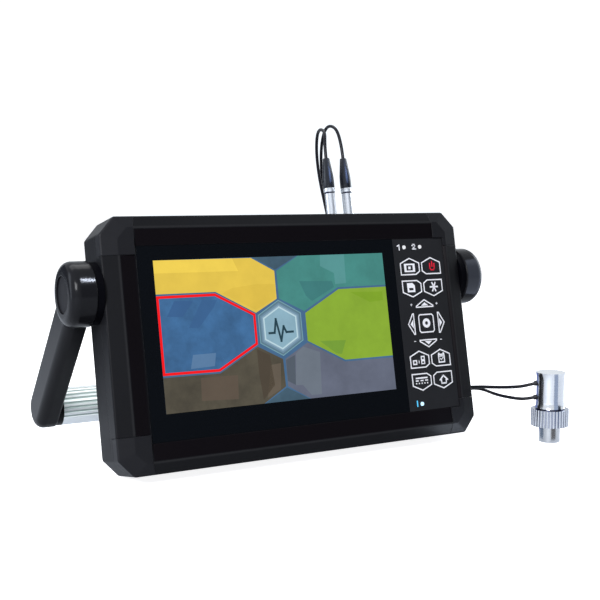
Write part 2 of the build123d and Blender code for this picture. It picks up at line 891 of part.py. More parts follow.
with BuildPart() as arm_right:
    with BuildSketch(side_plane(hub_inner)):
        with Locations((grip_reach / 2, 0)):
            SlotCenterToCenter(grip_reach, arm_depth)
    extrude(amount=arm_thickness)
    fillet(arm_right.faces().sort_by(Axis.X)[-1].edges(), arm_outer_round)
    fillet(arm_right.faces().sort_by(Axis.X)[0].edges(), arm_inner_round)
    add(hub_form.part)
    with BuildSketch(grip_plane(hub_inner + arm_thickness / 2)):
        Circle(grip_radius)
    extrude(amount=-(arm_thickness / 2 + collar_length))
    with BuildSketch(grip_plane(hub_inner - collar_length)):
        Circle(grip_radius - grip_wall - grip_gap)
    extrude(amount=-spigot_length)
    with BuildSketch(side_plane(hub_outer)):
        Circle(recess_radius)
    extrude(amount=-recess_depth, mode=Mode.SUBTRACT)
    with BuildSketch(side_plane(hub_outer - recess_depth)):
        Circle(pivot_head_radius + head_gap)
    extrude(amount=pivot_head - side_play - hub_outer + recess_depth, mode=Mode.SUBTRACT)
    with BuildSketch(side_plane(hub_inner)):
        Circle(pivot_radius + pivot_gap)
    extrude(amount=hub_width, mode=Mode.SUBTRACT)
export("handle_arm_right", arm_right)

with BuildPart() as arm_left:
    mirror(arm_right.part, about=Plane.YZ)
export("handle_arm_left", arm_left)

with BuildPart() as grip:
    with BuildSketch(grip_plane(collar_length + grip_gap - hub_inner)):
        Circle(grip_radius)
        Circle(grip_radius - grip_wall, mode=Mode.SUBTRACT)
        with PolarLocations(
            grip_radius + flute_radius - flute_depth,
            flute_count,
            start_angle=90 + degrees(arm_drop) - flute_pitch * (flute_count - 1) / 2,
            angular_range=flute_pitch * (flute_count - 1),
            endpoint=True,
        ):
            Circle(flute_radius, mode=Mode.SUBTRACT)
    extrude(amount=2 * (hub_inner - collar_length - grip_gap))
export("handle_grip", grip)

for side, name in ((-1, "left"), (1, "right")):
    with BuildPart() as hub_cap:
        with BuildSketch(side_plane(side * (hub_outer - recess_depth))):
            Circle(recess_radius - cap_gap)
        extrude(amount=side * cap_thickness)
    export(f"hub_cap_{name}", hub_cap)

# Leads: from the boots over the case to a coil each, then along the floor to the probe
upper_routes = (
    [
        above(socket_places[0], boot_top, -socket_behind),
        above(socket_places[0], 120, -socket_behind),
        above(43.9, 132.5, -22.5),
        above(46.0, 139, -35.5),
        above(50.2, 126, -46.5),
        above(54.7, 108, -54),
        above(60.6, 89, -59.5),
        above(66, 66, -63),
        at(68, 74.5, 105),
        at(69.5, 71, 80),
        at(70, 66.5, 55),
        at(69.5, 62.5, 32),
        at(69.0, 60.7, 18),
        at(coil_places[0] + coil_mean_radius, coil_back, coil_height - coil_bite),
    ],
    [
        above(socket_places[1], boot_top, -socket_behind),
        above(socket_places[1], 120, -socket_behind),
        above(53.6, 133.5, -24),
        above(53.8, 138, -37),
        above(55.6, 127, -49),
        above(59.5, 108, -58.5),
        above(64, 89, -64.5),
        above(69, 66, -67),
        at(73, 78.5, 104),
        at(76, 75.0, 80),
        at(79, 69.5, 56),
        at(81.5, 64.5, 33),
        at(82.3, 62.5, 19),
        at(coil_places[1] - coil_mean_radius, coil_back, coil_height - coil_bite),
    ],
)
lower_routes = (
    [
        at(coil_places[0] + coil_mean_radius + 0.5, 58, coil_height - coil_bite),
        at(78, 56.3, 9.9),
        at(92, 55.2, 10.2),
        at(107, 54.6, 10.5),
        at(121, 51.5, 12.0),
        at(133, 44.5, 18),
        at(142, 29, 26.0),
        at(143.5, 11, 29.7),
        at(143.2, -7, 32.1),
        at(147.5, -21, 34.1),
        at(151.0, -26.7, 35.5),
        at(155.2, -30.9, 37.3),
    ],
    [
        at(coil_places[1] + coil_mean_radius + 2.5, coil_back + 1.5, coil_height / 2),
        at(119, 64.4, 4.2),
        at(131, 60, 7),
        at(142, 48, 14.5),
        at(147.5, 31, 22.5),
        at(146.5, 13, 26.6),
        at(144.8, -6, 26.8),
        at(147.8, -20.5, 26.6),
        at(151.2, -27.0, 26.8),
        at(155.2, -30.9, 28.2),
    ],
)


def bend_radii(points):
    """The largest arc that each corner of a route leaves room for."""
    radii = []
    for before, corner, after in zip(points, points[1:], points[2:]):
        turn = radians((corner - before).get_angle(after - corner))
        shorter = min((corner - before).length, (after - corner).length)
        radii.append(bend_share * shorter / tan(turn / 2))
    return radii


def make_lead(name, points):
    """Sweeps a lead's round section along its route and says how tight it bends."""
    radii = bend_radii(points)
    with BuildPart() as lead:
        with BuildLine():
            path = FilletPolyline(*points, radius=radii)
        with BuildSketch(Plane(origin=path @ 0, z_dir=path % 0)):
            Circle(lead_radius)
        sweep()
    section = pi * lead_radius**2
    print(name, "length", round(path.length, 1), "radii", [round(r, 1) for r in radii])
    print(name, "volume over section times length", round(lead.part.volume / (section * path.length), 4))
    export(name, lead)
    return path.length


for number in (0, 1):
    shown = make_lead(f"lead_{number + 1}_upper", upper_routes[number])
    shown += make_lead(f"lead_{number + 1}_lower", lower_routes[number])
    turns = (lead_total - shown) / (2 * pi * coil_mean_radius)
    print("coil", number + 1, "turns", round(turns, 1))
    place = at(coil_places[number], coil_back, 0)
    with BuildPart() as coil:
        with BuildSketch(Plane(origin=place, x_dir=(1, 0, 0), z_dir=(0, -1, 0))):
            with Locations((coil_mean_radius, coil_height / 2)):
                RectangleRounded(coil_width, coil_height, coil_round)
        revolve(axis=Axis(place, (0, 0, 1)))
    export(f"lead_{number + 1}_coil", coil)

# Transducer standing on the floor: tip, knurled ring and waisted body
probe_foot = at(probe_across, probe_back, 0)


def probe_plane(height):
    return Plane(origin=probe_foot, x_dir=(1, 0, 0), z_dir=(0, 0, 1)).offset(height)


with BuildPart() as probe_tip:
    with BuildSketch(probe_plane(0)):
        Circle(tip_radius)
    extrude(amount=tip_height)
export("transducer_tip", probe_tip)

with BuildPart() as probe_ring:
    with BuildSketch(probe_plane(tip_height)):
        Circle(ring_radius - rib_radius)
        with PolarLocations(ring_radius - rib_radius, rib_count):
            Circle(rib_radius)
    extrude(amount=ring_height)
export("transducer_ring", probe_ring)

with BuildPart() as probe_body:
    with BuildSketch(Plane(origin=probe_foot, x_dir=(1, 0, 0), z_dir=(0, -1, 0))):
        with BuildLine():
            low = probe_ring_top
            high = probe_ring_top + body_height
            Polyline((0, low), (body_groove_radius, low), (body_groove_radius, low + body_groove))
            Line((body_groove_radius, low + body_groove), (body_radius, low + body_groove))
            Spline(
                (body_radius, low + body_groove),
                (body_waist, low + body_foot_flare),
                tangents=[(-1, 3), (0, 1)],
            )
            Line((body_waist, low + body_foot_flare), (body_waist, high - body_top_flare))
            Spline(
                (body_waist, high - body_top_flare),
                (body_radius, high),
                tangents=[(0, 1), (1, 3)],
            )
            Polyline((body_radius, high), (0, high), (0, low))
        make_face()
    revolve(axis=Axis(probe_foot, (0, 0, 1)))
    for route in lower_routes:
        with BuildSketch(Plane(origin=route[-1], z_dir=route[-2] - route[-1])):
            Circle(gland_radius)
        extrude(amount=-gland_length, mode=Mode.SUBTRACT)
export("transducer_body", probe_body)

with BuildPart() as probe_glands:
    for route in lower_routes:
        with BuildSketch(Plane(origin=route[-1], z_dir=route[-2] - route[-1])):
            Circle(gland_radius)
        extrude(amount=-gland_length)
export("transducer_glands", probe_glands)
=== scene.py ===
import json
from functools import cache, partial
from math import cos, pi, radians, sin

import bmesh
import bpy
from bpy.props import FloatProperty, FloatVectorProperty, IntProperty, PointerProperty
from mathutils import Euler, Matrix, Vector


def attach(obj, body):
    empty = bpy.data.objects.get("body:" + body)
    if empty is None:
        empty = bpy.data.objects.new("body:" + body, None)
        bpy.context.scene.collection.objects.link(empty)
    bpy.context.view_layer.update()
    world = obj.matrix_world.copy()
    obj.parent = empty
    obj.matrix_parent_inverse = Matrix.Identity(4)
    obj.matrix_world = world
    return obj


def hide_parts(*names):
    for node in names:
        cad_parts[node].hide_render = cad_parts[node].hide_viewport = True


bl_info = {
    "name": "Flaw Detector Dressing",
    "version": (1, 0, 0),
    "blender": (4, 5, 0),
    "location": "3D View > Sidebar > Flaw Detector",
    "description": "Gives the packed flaw detector its screen, keypad print, leads and finishes",
    "category": "Object",
}

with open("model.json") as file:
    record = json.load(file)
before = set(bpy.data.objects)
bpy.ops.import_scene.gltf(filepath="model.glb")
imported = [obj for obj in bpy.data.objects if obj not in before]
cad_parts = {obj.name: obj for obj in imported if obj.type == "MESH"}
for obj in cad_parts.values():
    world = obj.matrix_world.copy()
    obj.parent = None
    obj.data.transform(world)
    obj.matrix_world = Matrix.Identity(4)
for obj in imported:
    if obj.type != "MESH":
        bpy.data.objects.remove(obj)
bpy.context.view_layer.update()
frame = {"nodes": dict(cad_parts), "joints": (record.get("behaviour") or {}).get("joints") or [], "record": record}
NODES = frame["nodes"]
HUB = next(joint["pos_m"] for joint in frame["joints"] if joint["name"] == "handle_swing")
GRIP = next(mount["pos_m"] for mount in frame["record"]["mounts"] if mount["name"] == "grip")

# Sizes of the solids that the added pieces meet, in millimetres
MM = 0.001
LEAN = radians(11.52)
MIDDLE_BACK = 43.847
STAND_HEIGHT = 77.334
GLASS = 0.74
KEY_TOP = 1.14
PAD_ACROSS = 90.45
SOCKETS = {1: 40.9, 2: 53.7}
SOCKET_BEHIND = 20.0
PLUG_TOP = 91.85
PROBE = (162.8, -38.0)
RING_TOP = 21.6

FRONT_TURN = pi / 2 - LEAN
FRONT = Matrix.Translation((0, -MIDDLE_BACK * MM, STAND_HEIGHT * MM)) @ Matrix.Rotation(FRONT_TURN, 4, "X")
UPWARD = FRONT.to_3x3() @ Vector((0, 1, 0))
OUTWARD = FRONT.to_3x3() @ Vector((0, 0, 1))


def on_front(across, up, out):
    """A place given across the front, up it and out of it, in millimetres."""
    return FRONT @ Vector((across * MM, up * MM, out * MM))


def at(across, back, height):
    """A place given across, behind the front's middle and above the floor, in millimetres."""
    return Vector((across, back - MIDDLE_BACK, height)) * MM


# Sizes and colours that a user may change


def colour_choice(name, description, default):
    """A colour that a user may change."""
    return FloatVectorProperty(name=name, description=description, subtype="COLOR", default=default)


class CaseLook(bpy.types.PropertyGroup):
    body_colour: colour_choice("Case colour", "Colour of the case", (0.0065, 0.0066, 0.008))
    cover_colour: colour_choice("Covers", "Colour of the corners", (0.0115, 0.0117, 0.014))
    strip_colour: colour_choice("Strips", "Colour of the strips", (0.0052, 0.0042, 0.0054))
    # Colour of the painted highlight along the inner edge of the front's ridge
    edge_highlight_colour: colour_choice("Edge highlight colour", "Colour of the painted edge highlight", (0.019, 0.019, 0.021))
    grain: FloatProperty(name="Grain", description="Depth of grain", unit="LENGTH", default=0.00003, min=0)
    edge: FloatProperty(name="Edges", description="Radius of the edges", unit="LENGTH", default=0.0006, min=0)


class ScreenLook(bpy.types.PropertyGroup):
    glow: FloatProperty(name="Glow", description="Brightness of the lit screen", default=0.8, min=0)
    line: FloatProperty(name="Line", description="Width of red line in millimetres", default=1.45, min=0.1)


class KeypadLook(bpy.types.PropertyGroup):
    line: FloatProperty(name="Line", description="Width of outlines in millimetres", default=0.78, min=0.1)
    print_colour: colour_choice("Print colour", "Colour of the print", (0.92, 0.92, 0.97))
    label_colour: colour_choice("Pad", "Colour of label and keys", (0.018, 0.0185, 0.021))


class HandleLook(bpy.types.PropertyGroup):
    arm_colour: colour_choice("Arm colour", "Colour of the arms", (0.009, 0.0092, 0.011))
    grip_colour: colour_choice("Grip colour", "Colour of the grip", (0.86, 0.89, 0.9))
    hub_reach: FloatProperty(
        name="Hub radius", description="Radius of a hub's polish", unit="LENGTH", default=0.0187, min=0
    )


class LeadLook(bpy.types.PropertyGroup):
    diameter: FloatProperty(
        name="Diameter", description="Diameter of a lead", unit="LENGTH", default=0.0021, min=0.0005
    )
    length: FloatProperty(name="Length", description="Length of a lead", unit="LENGTH", default=1.2, min=0.1)
    coil_points: IntProperty(name="Coil points", description="Points in a coil's turn", default=12, min=8)


class ProbeLook(bpy.types.PropertyGroup):
    metal_colour: colour_choice("Plating colour", "Colour of the plating", (0.78, 0.79, 0.81))


class StageLook(bpy.types.PropertyGroup):
    floor_colour: colour_choice("Floor colour", "Colour of the floor", (0.94, 0.94, 0.95))
    floor_glow: FloatProperty(name="Floor glow", description="Light of the floor itself", default=0.95, min=0)
    soft_light: FloatProperty(name="Soft light", description="Strength of the room", default=0.06, min=0)
    key_light: FloatProperty(
        name="Key light", description="Power that the lamps share out", unit="POWER", default=10.0, min=0
    )
    lens: FloatProperty(
        name="Lens", description="Focal length of the camera", subtype="DISTANCE_CAMERA", default=63.6
    )


# Nodes and node groups


def node(tree, kind, settings=None, **inputs):
    """Adds a node. A socket value may be a plain value or another node's output."""
    made = tree.nodes.new(kind)
    for name, value in (settings or {}).items():
        setattr(made, name, value)
    for name, value in inputs.items():
        key = int(name[1:]) if name[0] == "s" and name[1:].isdigit() else name.replace("_", " ")
        if isinstance(value, bpy.types.NodeSocket):
            tree.links.new(value, made.inputs[key])
        else:
            made.inputs[key].default_value = value
    return made


def work_out(tree, operation, *values):
    """What a Math node makes of its values."""
    sockets = {f"s{number}": value for number, value in enumerate(values)}
    return node(tree, "ShaderNodeMath", {"operation": operation}, **sockets).outputs[0]


def carried(tree, value, low, high, start=0.0, end=1.0):
    """A value between a start and an end, carried over to between a low and a high one."""
    ends = {"From_Min": start, "From_Max": end, "To_Min": low, "To_Max": high}
    return node(tree, "ShaderNodeMapRange", Value=value, **ends).outputs[0]


def falling(tree, value, start, end):
    """A mask that is one up to a start and falls to nothing at an end."""
    return carried(tree, value, 1.0, 0.0, start, end)


def shaded(tree, colour, shade):
    """A colour made lighter or darker by a shade."""
    return node(tree, "ShaderNodeVectorMath", {"operation": "SCALE"}, s0=colour, Scale=shade).outputs[0]


def either(tree, mask, first, second, kind="RGBA"):
    """One colour or number where a mask is zero, and a second one where it is one."""
    place, result = {"RGBA": (6, 2), "FLOAT": (2, 0)}[kind]
    sockets = {f"s{place}": first, f"s{place + 1}": second}
    return node(tree, "ShaderNodeMix", {"data_type": kind}, s0=mask, **sockets).outputs[result]


def noise(tree, place, scale, detail, roughness=0.5):
    """Soft random patches between nothing and one."""
    sockets = {"Scale": scale, "Detail": detail, "Roughness": roughness}
    return node(tree, "ShaderNodeTexNoise", Vector=place, **sockets).outputs["Fac"]


def own_place(tree):
    """The place on the piece, which stays with it as it moves."""
    return node(tree, "ShaderNodeTexCoord").outputs["Object"]


def front_place(tree):
    """Places across the front, up it and out of it."""
    origin = {"Location": FRONT.translation, "Rotation": (FRONT_TURN, 0, 0)}
    local = node(tree, "ShaderNodeMapping", {"vector_type": "TEXTURE"}, Vector=own_place(tree), **origin)
    return node(tree, "ShaderNodeSeparateXYZ", Vector=local.outputs[0]).outputs


def from_axis(tree, keep, centre):
    """How far a place lies from an axis along X, Y or Z, which keep sets to zero."""
    flat = node(tree, "ShaderNodeVectorMath", {"operation": "MULTIPLY"}, s0=own_place(tree), s1=keep)
    away = node(tree, "ShaderNodeVectorMath", {"operation": "DISTANCE"}, s0=flat.outputs[0], s1=centre)
    return away.outputs["Value"]


def new_group(name, **more):
    """A group with the sockets of a finish and more of its own, and its inner sockets."""
    tree = bpy.data.node_groups.new(name, "ShaderNodeTree")
    taken = {"Colour": "Color", "Roughness": "Float", "Spread": "Float", **more}
    given = {"Colour": "Color", "Roughness": "Float", "Height": "Float"}
    for way, sockets in (("INPUT", taken), ("OUTPUT", given)):
        for label, kind in sockets.items():
            tree.interface.new_socket(name=label, in_out=way, socket_type=f"NodeSocket{kind}")
    return tree, tree.nodes.new("NodeGroupInput").outputs, tree.nodes.new("NodeGroupOutput").inputs


def put_out(tree, taken, given, patches, darkest, lightest, height):
    """Varies a group's colour and roughness by some patches and puts them out with a height."""
    shade = carried(tree, patches, darkest, lightest)
    rough = work_out(tree, "MULTIPLY_ADD", patches, taken["Spread"], taken["Roughness"])
    tree.links.new(shaded(tree, taken["Colour"], shade), given["Colour"])
    tree.links.new(rough, given["Roughness"])
    tree.links.new(height, given["Height"])
    return tree


@cache
def grain_group():
    """Fine moulded grain with faint patches."""
    tree, taken, given = new_group("moulded_grain", Scale="Float")
    place = own_place(tree)
    fine = noise(tree, place, taken["Scale"], detail=3.0)
    patches = noise(tree, place, scale=38.0, detail=4.0, roughness=0.6)
    return put_out(tree, taken, given, patches, 0.86, 1.16, fine)


@cache
def drawn_group():
    """Fine drawn or turned lines in metal, stretched along one direction."""
    tree, taken, given = new_group("drawn_lines", Place="Vector")
    lines = noise(tree, taken["Place"], scale=1.0, detail=3.0, roughness=0.65)
    return put_out(tree, taken, given, lines, 0.85, 1.1, lines)


# Materials


POLISH = 0.16


def blank(name):
    """A new material with its node tree and its Principled shader."""
    made = bpy.data.materials.new(name)
    made.use_nodes = True
    tree = made.node_tree
    return made, tree, tree.nodes["Principled BSDF"]


def rgba(colour):
    return (*colour, 1.0)


def preset(shader, **values):
    """Gives sockets of a shader their plain values."""
    for name, value in values.items():
        shader.inputs[name.replace("_", " ")].default_value = value


def dress(tree, shader, look, depth):
    """Feeds a group's colour, roughness and height to a shader, and returns the Bump node between."""
    bump = node(tree, "ShaderNodeBump", Strength=1.0, Distance=depth, Height=look.outputs["Height"])
    tree.links.new(look.outputs["Colour"], shader.inputs["Base Color"])
    tree.links.new(look.outputs["Roughness"], shader.inputs["Roughness"])
    tree.links.new(bump.outputs[0], shader.inputs["Normal"])
    return bump


def moulded(name, colour, roughness, grain=0.00003, spread=0.08, scale=1400.0, shine=0.12, edge=0.0):
    """Moulded plastic or rubber with a fine grain, its edges softened by a small radius."""
    made, tree, shader = blank(name)
    values = {"Colour": rgba(colour), "Scale": scale, "Roughness": roughness - spread / 2, "Spread": spread}
    look = node(tree, "ShaderNodeGroup", {"node_tree": grain_group()}, **values)
    bump = dress(tree, shader, look, grain)
    if edge:
        softened = node(tree, "ShaderNodeBevel", {"samples": 4}, Radius=edge)
        tree.links.new(softened.outputs[0], bump.inputs["Normal"])
    preset(shader, Specular_IOR_Level=shine)
    return made


def metal(name, colour, roughness, stretch, turn=(0, 0, 0), depth=0.00001, spread=0.15, metallic=1.0):
    """Bare or plated metal, its fine lines stretched by a Mapping node."""
    made, tree, shader = blank(name)
    place = own_place(tree)
    turned = node(tree, "ShaderNodeMapping", {"vector_type": "TEXTURE"}, Vector=place, Rotation=turn)
    place = node(tree, "ShaderNodeMapping", Vector=turned.outputs[0], Scale=stretch).outputs[0]
    values = {"Place": place, "Colour": rgba(colour), "Roughness": roughness - spread / 2, "Spread": spread}
    look = node(tree, "ShaderNodeGroup", {"node_tree": drawn_group()}, **values)
    dress(tree, shader, look, depth)
    preset(shader, Metallic=metallic)
    return made


def lit(name, colour, glow, cloudy=0.0):
    """A lit field, with a faint pattern of lighter and darker clouds."""
    made, tree, shader = blank(name)
    clouds = noise(tree, own_place(tree), scale=70.0, detail=5.0, roughness=0.62)
    shade = carried(tree, clouds, 1.0 - cloudy, 1.0 + cloudy, 0.3, 0.7)
    tree.links.new(shaded(tree, colour, shade), shader.inputs["Emission Color"])
    preset(shader, Base_Color=(0.01, 0.01, 0.012, 1), Emission_Strength=glow)
    preset(shader, Roughness=0.12, Specular_IOR_Level=0.15)
    return made


def shade_where(material, mask, colour):
    """Gives a finished material another colour where a mask is one."""
    tree = material.node_tree
    base = tree.nodes["Principled BSDF"].inputs["Base Color"]
    tree.links.new(either(tree, mask, base.links[0].from_socket, rgba(colour)), base)


def polish_where(material, mask):
    """Makes a finished material smoother where a mask is one."""
    tree = material.node_tree
    rough = tree.nodes["Principled BSDF"].inputs["Roughness"]
    tree.links.new(work_out(tree, "MULTIPLY_ADD", mask, -POLISH, rough.links[0].from_socket), rough)


def paint(material, *names):
    """Gives CAD nodes their finish."""
    for name in names:
        data = NODES[name].data
        data.materials.clear()
        data.materials.append(material)


# Objects and shapes on the front


ROUND_STEPS = 48
SHARP_EDGE = radians(35)


def add_object(name, data):
    """A new object in the scene."""
    made = bpy.data.objects.new(name, data)
    bpy.context.scene.collection.objects.link(made)
    return made


def add_mesh(name, bm, *materials):
    """Turns a bmesh into an object with its materials."""
    mesh = bpy.data.meshes.new(name)
    bm.to_mesh(mesh)
    bm.free()
    for material in materials:
        mesh.materials.append(material)
    return add_object(name, mesh)


def add_piece(name, bm, materials, body):
    """Turns a bmesh into a piece that rides on a CAD body."""
    piece = add_mesh(name, bm, *materials)
    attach(piece, body)
    return piece


def area(bm, out, ink, points):
    """A flat field on the front, from its corners. Its ink is the number of its material."""
    face = bm.faces.new([bm.verts.new(on_front(across, up, out)) for across, up in points])
    face.material_index = ink
    face.normal_update()
    if face.normal.dot(OUTWARD) < 0:
        face.normal_flip()
    return face


def box(bm, out, ink, across, up, width, height):
    """An upright box, from its middle."""
    left, right = across - width / 2, across + width / 2
    low, high = up - height / 2, up + height / 2
    area(bm, out, ink, [(left, low), (right, low), (right, high), (left, high)])


def ring(bm, out, ink, width, points):
    """A line of the given width just inside a closed outline."""
    face = area(bm, out, ink, points)
    bmesh.ops.inset_region(bm, faces=[face], thickness=width * MM, use_even_offset=True, use_boundary=True)
    bmesh.ops.delete(bm, geom=[face], context="FACES")


def stroke(bm, out, ink, width, points):
    """A printed line along some points."""
    for (x0, y0), (x1, y1) in zip(points, points[1:]):
        along = Vector((x1 - x0, y1 - y0)).normalized() * width / 2
        side = Vector((-along.y, along.x))
        start, end = Vector((x0, y0)) - along, Vector((x1, y1)) + along
        area(bm, out, ink, [start - side, end - side, end + side, start + side])


def bars(bm, out, ink, left, right, low, high, upright, level):
    """A frame of four bars, its upright and its level bars of their own widths."""
    middle, half = (left + right) / 2, (low + high) / 2
    for across in (left + upright / 2, right - upright / 2):
        box(bm, out, ink, across, half, upright, high - low)
    for up in (low + level / 2, high - level / 2):
        box(bm, out, ink, middle, up, right - left - 2 * upright, level)


def round_points(across, up, radius, count=28):
    turns = [2 * pi * i / count for i in range(count)]
    return [(across + radius * cos(turn), up + radius * sin(turn)) for turn in turns]


def spun(name, across, profile, material):
    """A round piece about a plug's axis, from its radii and its heights above the plug's top."""
    bm = bmesh.new()
    verts = [bm.verts.new(on_front(across + radius, PLUG_TOP + up, -SOCKET_BEHIND)) for radius, up in profile]
    edges = [bm.edges.new(pair) for pair in zip(verts, verts[1:])]
    middle = on_front(across, 0, -SOCKET_BEHIND)
    turn = {"cent": middle, "axis": UPWARD, "angle": 2 * pi, "steps": ROUND_STEPS, "use_merge": True}
    bmesh.ops.spin(bm, geom=verts + edges, **turn)
    bmesh.ops.remove_doubles(bm, verts=bm.verts, dist=0.000001)
    bmesh.ops.recalc_face_normals(bm, faces=bm.faces)
    for face in bm.faces:
        face.smooth = True
    for edge in bm.edges:
        edge.smooth = edge.calc_face_angle(0.0) < SHARP_EDGE
    return add_piece(name, bm, [material], "case")


# Leads and boots


# The route of each lead: over the case and down its back on the front's plane, then down to its coil
# and from the coil to the transducer, measured from the floor
OVER_CASE = {
    1: [
        (40.9, 111.55, -20), (40.9, 120, -20), (43.9, 130.5, -22.5), (46.4, 135, -35.5),
        (50.2, 124.5, -46.5), (54.7, 108, -54), (60.6, 89, -59.5), (66, 66, -63),
    ],
    2: [
        (53.7, 111.55, -20), (53.7, 120, -20), (53.6, 133.5, -24), (53.8, 138, -37),
        (55.6, 127, -49), (59.5, 108, -58.5), (64, 89, -64.5), (69, 66, -67),
    ],
}
TO_COIL = {
    1: [(68, 74.5, 105), (69.5, 71, 80), (70, 66.5, 55), (69.5, 62.5, 32), (69.0, 60.7, 18)],
    2: [(73, 78.5, 104), (76, 75.0, 80), (79, 69.5, 56), (81.5, 64.5, 33), (82.3, 62.5, 19)],
}
TO_PROBE = {
    1: [
        (78, 56.3, 9.9), (92, 55.2, 10.2), (107, 54.6, 10.5), (121, 51.5, 12.0),
        (133, 44.5, 18), (142, 29, 26.0), (143.5, 11, 29.7), (143.2, -7, 32.1),
        (147.5, -21, 34.1), (151.0, -26.7, 35.5), (155.2, -30.9, 37.3),
    ],
    2: [
        (119, 64.4, 4.2), (131, 60, 7), (142, 48, 14.5), (147.5, 31, 24.4), (146.5, 13, 28.2),
        (144.8, -6, 26.8), (147.8, -20.5, 26.6), (151.2, -27.0, 26.8), (155.2, -30.9, 28.2),
    ],
}
# A boot from its foot to its tip: its radius and the height above the plug's top
BOOT = [(0, 0), (3.3, 0), (3.6, 0.5), (3.65, 4.0), (3.5, 8.0), (2.15, 19.3), (1.85, 19.7), (0, 19.7)]
# Each coil: its middle across and behind the front's middle, its turns and the angle it starts at
COILS = {1: (58.0, 61.5, 10.9, 0.0), 2: (94.0, 61.5, 11.35, pi)}
# Each turn of a coil: how far out from its middle and how high its line runs
TURNS = [
    (13.5, 5.4), (11.4, 5.5), (9.3, 5.4), (10.4, 3.7), (12.5, 3.6), (13.6, 1.2),
    (11.5, 1.1), (9.4, 1.2), (9.5, 3.1), (11.6, 3.3), (13.4, 3.6), (12.6, 6.3),
]
# The part of a turn in which the line moves over to the next turn's place
MOVE_START, MOVE_END = 0.45, 0.75
# A coil's curve runs inside its points, at this share of their radius
CURVE_SHARE = 0.967


def coil_points(number, count):
    """Points of the coil's turns, which change their place along the side away from the ends."""
    across, back, turns, start = COILS[number]
    points = []
    for i in range(1, round(turns * count)):
        turn, part = divmod(i / count, 1.0)
        here = TURNS[int(turn) % len(TURNS)]
        after = TURNS[(int(turn) + 1) % len(TURNS)]
        mix = min(max((part - MOVE_START) / (MOVE_END - MOVE_START), 0.0), 1.0)
        mix = mix * mix * (3 - 2 * mix)
        radius = (here[0] + (after[0] - here[0]) * mix) / CURVE_SHARE
        height = here[1] + (after[1] - here[1]) * mix
        angle = start - 2 * pi * i / count
        points.append(at(across + radius * cos(angle), back + radius * sin(angle), height))
    return points


def lead_points(number, count):
    """A lead's points from its boot to the transducer."""
    points = [on_front(*place) for place in OVER_CASE[number]] + [at(*place) for place in TO_COIL[number]]
    return points + coil_points(number, count) + [at(*place) for place in TO_PROBE[number]]


def draw_lead(name, points, diameter, sheath):
    """A lead as a smooth curve with a round section."""
    curve = bpy.data.curves.new(name, "CURVE")
    curve.dimensions = "3D"
    spline = curve.splines.new("NURBS")
    spline.points.add(len(points) - 1)
    for point, place in zip(spline.points, points):
        point.co = (*place, 1.0)
    spline.order_u = 3
    spline.use_endpoint_u = True
    spline.resolution_u = 6
    curve.bevel_depth = diameter / 2
    curve.bevel_resolution = 3
    curve.use_fill_caps = True
    curve.materials.append(sheath)
    return add_object(name, curve)


class OBJECT_OT_fit_leads(bpy.types.Operator):
    """Fits the boots and lays the two leads over the case to their coils and on to the transducer"""

    bl_idname = "object.fit_leads"
    bl_label = "Leads"

    def execute(self, context):
        look = context.scene.lead_look
        black = moulded("lead_sheath", (0.012, 0.012, 0.016), 0.34, grain=0.00001, spread=0.1, scale=900.0)
        soft = moulded("boot_plastic", (0.01, 0.013, 0.024), 0.36, grain=0.00001, shine=0.5)
        for number in (1, 2):
            boot = spun(f"boot_{number}", SOCKETS[number], BOOT, soft)
            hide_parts(f"plug_boot_{number}")
            points = lead_points(number, look.coil_points)
            lead = draw_lead(f"lead_{number}", points, look.diameter, black)
            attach(lead, "case")
            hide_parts(f"lead_{number}_upper", f"lead_{number}_coil", f"lead_{number}_lower")
            on_it = [boot, NODES[f"plug_{number}"]]
            if number == 1:
                on_it += [NODES[f"transducer_{piece}"] for piece in ("body", "glands", "ring", "tip")]
        paint(black, "transducer_glands")
        return {"FINISHED"}


# Case


# How far the sunk strips reach across and up from the front's middle, and the level below which
# they lie, in metres
STRIP_ACROSS, STRIP_UP, STRIP_LEVEL = 0.1114, 0.0647, 0.00196
# How far left of the middle the window begins, in metres
WINDOW_LEFT = 0.10155
# How far out the painted highlight on the ridge beyond the strips and the painted highlight on the strip beside
# the window's left edge fade, in metres
EDGE_HIGHLIGHT_FADE = (0.0006, 0.0015)
WINDOW_HIGHLIGHT_FADE = (0.0006, 0.0014)


def front_moulding(look):
    """The front's plastic, its strips dark and smooth, with a painted highlight along its ridge's inner edge and
    another beside the window's left edge.
    """
    front = moulded("front_moulding", look.body_colour, 0.4, look.grain, shine=0.08, edge=look.edge)
    tree = front.node_tree
    work = partial(work_out, tree)
    across, up, out = front_place(tree)
    past_side = work("SUBTRACT", work("ABSOLUTE", across), STRIP_ACROSS)
    past_top = work("SUBTRACT", work("ABSOLUTE", up), STRIP_UP)
    past = work("MAXIMUM", past_side, past_top)
    inside = work("LESS_THAN", past, 0.0)
    strip = work("MULTIPLY", inside, work("LESS_THAN", out, STRIP_LEVEL))
    # Painted highlight: a lighter band on the ridge just outside the strips, where the edge would catch the light
    edge_highlight = work("MULTIPLY", falling(tree, past, *EDGE_HIGHLIGHT_FADE), work("SUBTRACT", 1.0, inside))
    # Painted highlight: a lighter line on the strip just left of the window's edge
    left = work("MULTIPLY_ADD", across, -1.0, -WINDOW_LEFT)
    beside = work("MULTIPLY", falling(tree, left, *WINDOW_HIGHLIGHT_FADE), work("GREATER_THAN", left, 0.0))
    window_highlight = work("MULTIPLY", beside, strip)
    shade_where(front, strip, look.strip_colour)
    shade_where(front, edge_highlight, look.edge_highlight_colour)
    shade_where(front, window_highlight, look.body_colour)
    polish_where(front, strip)
    return front


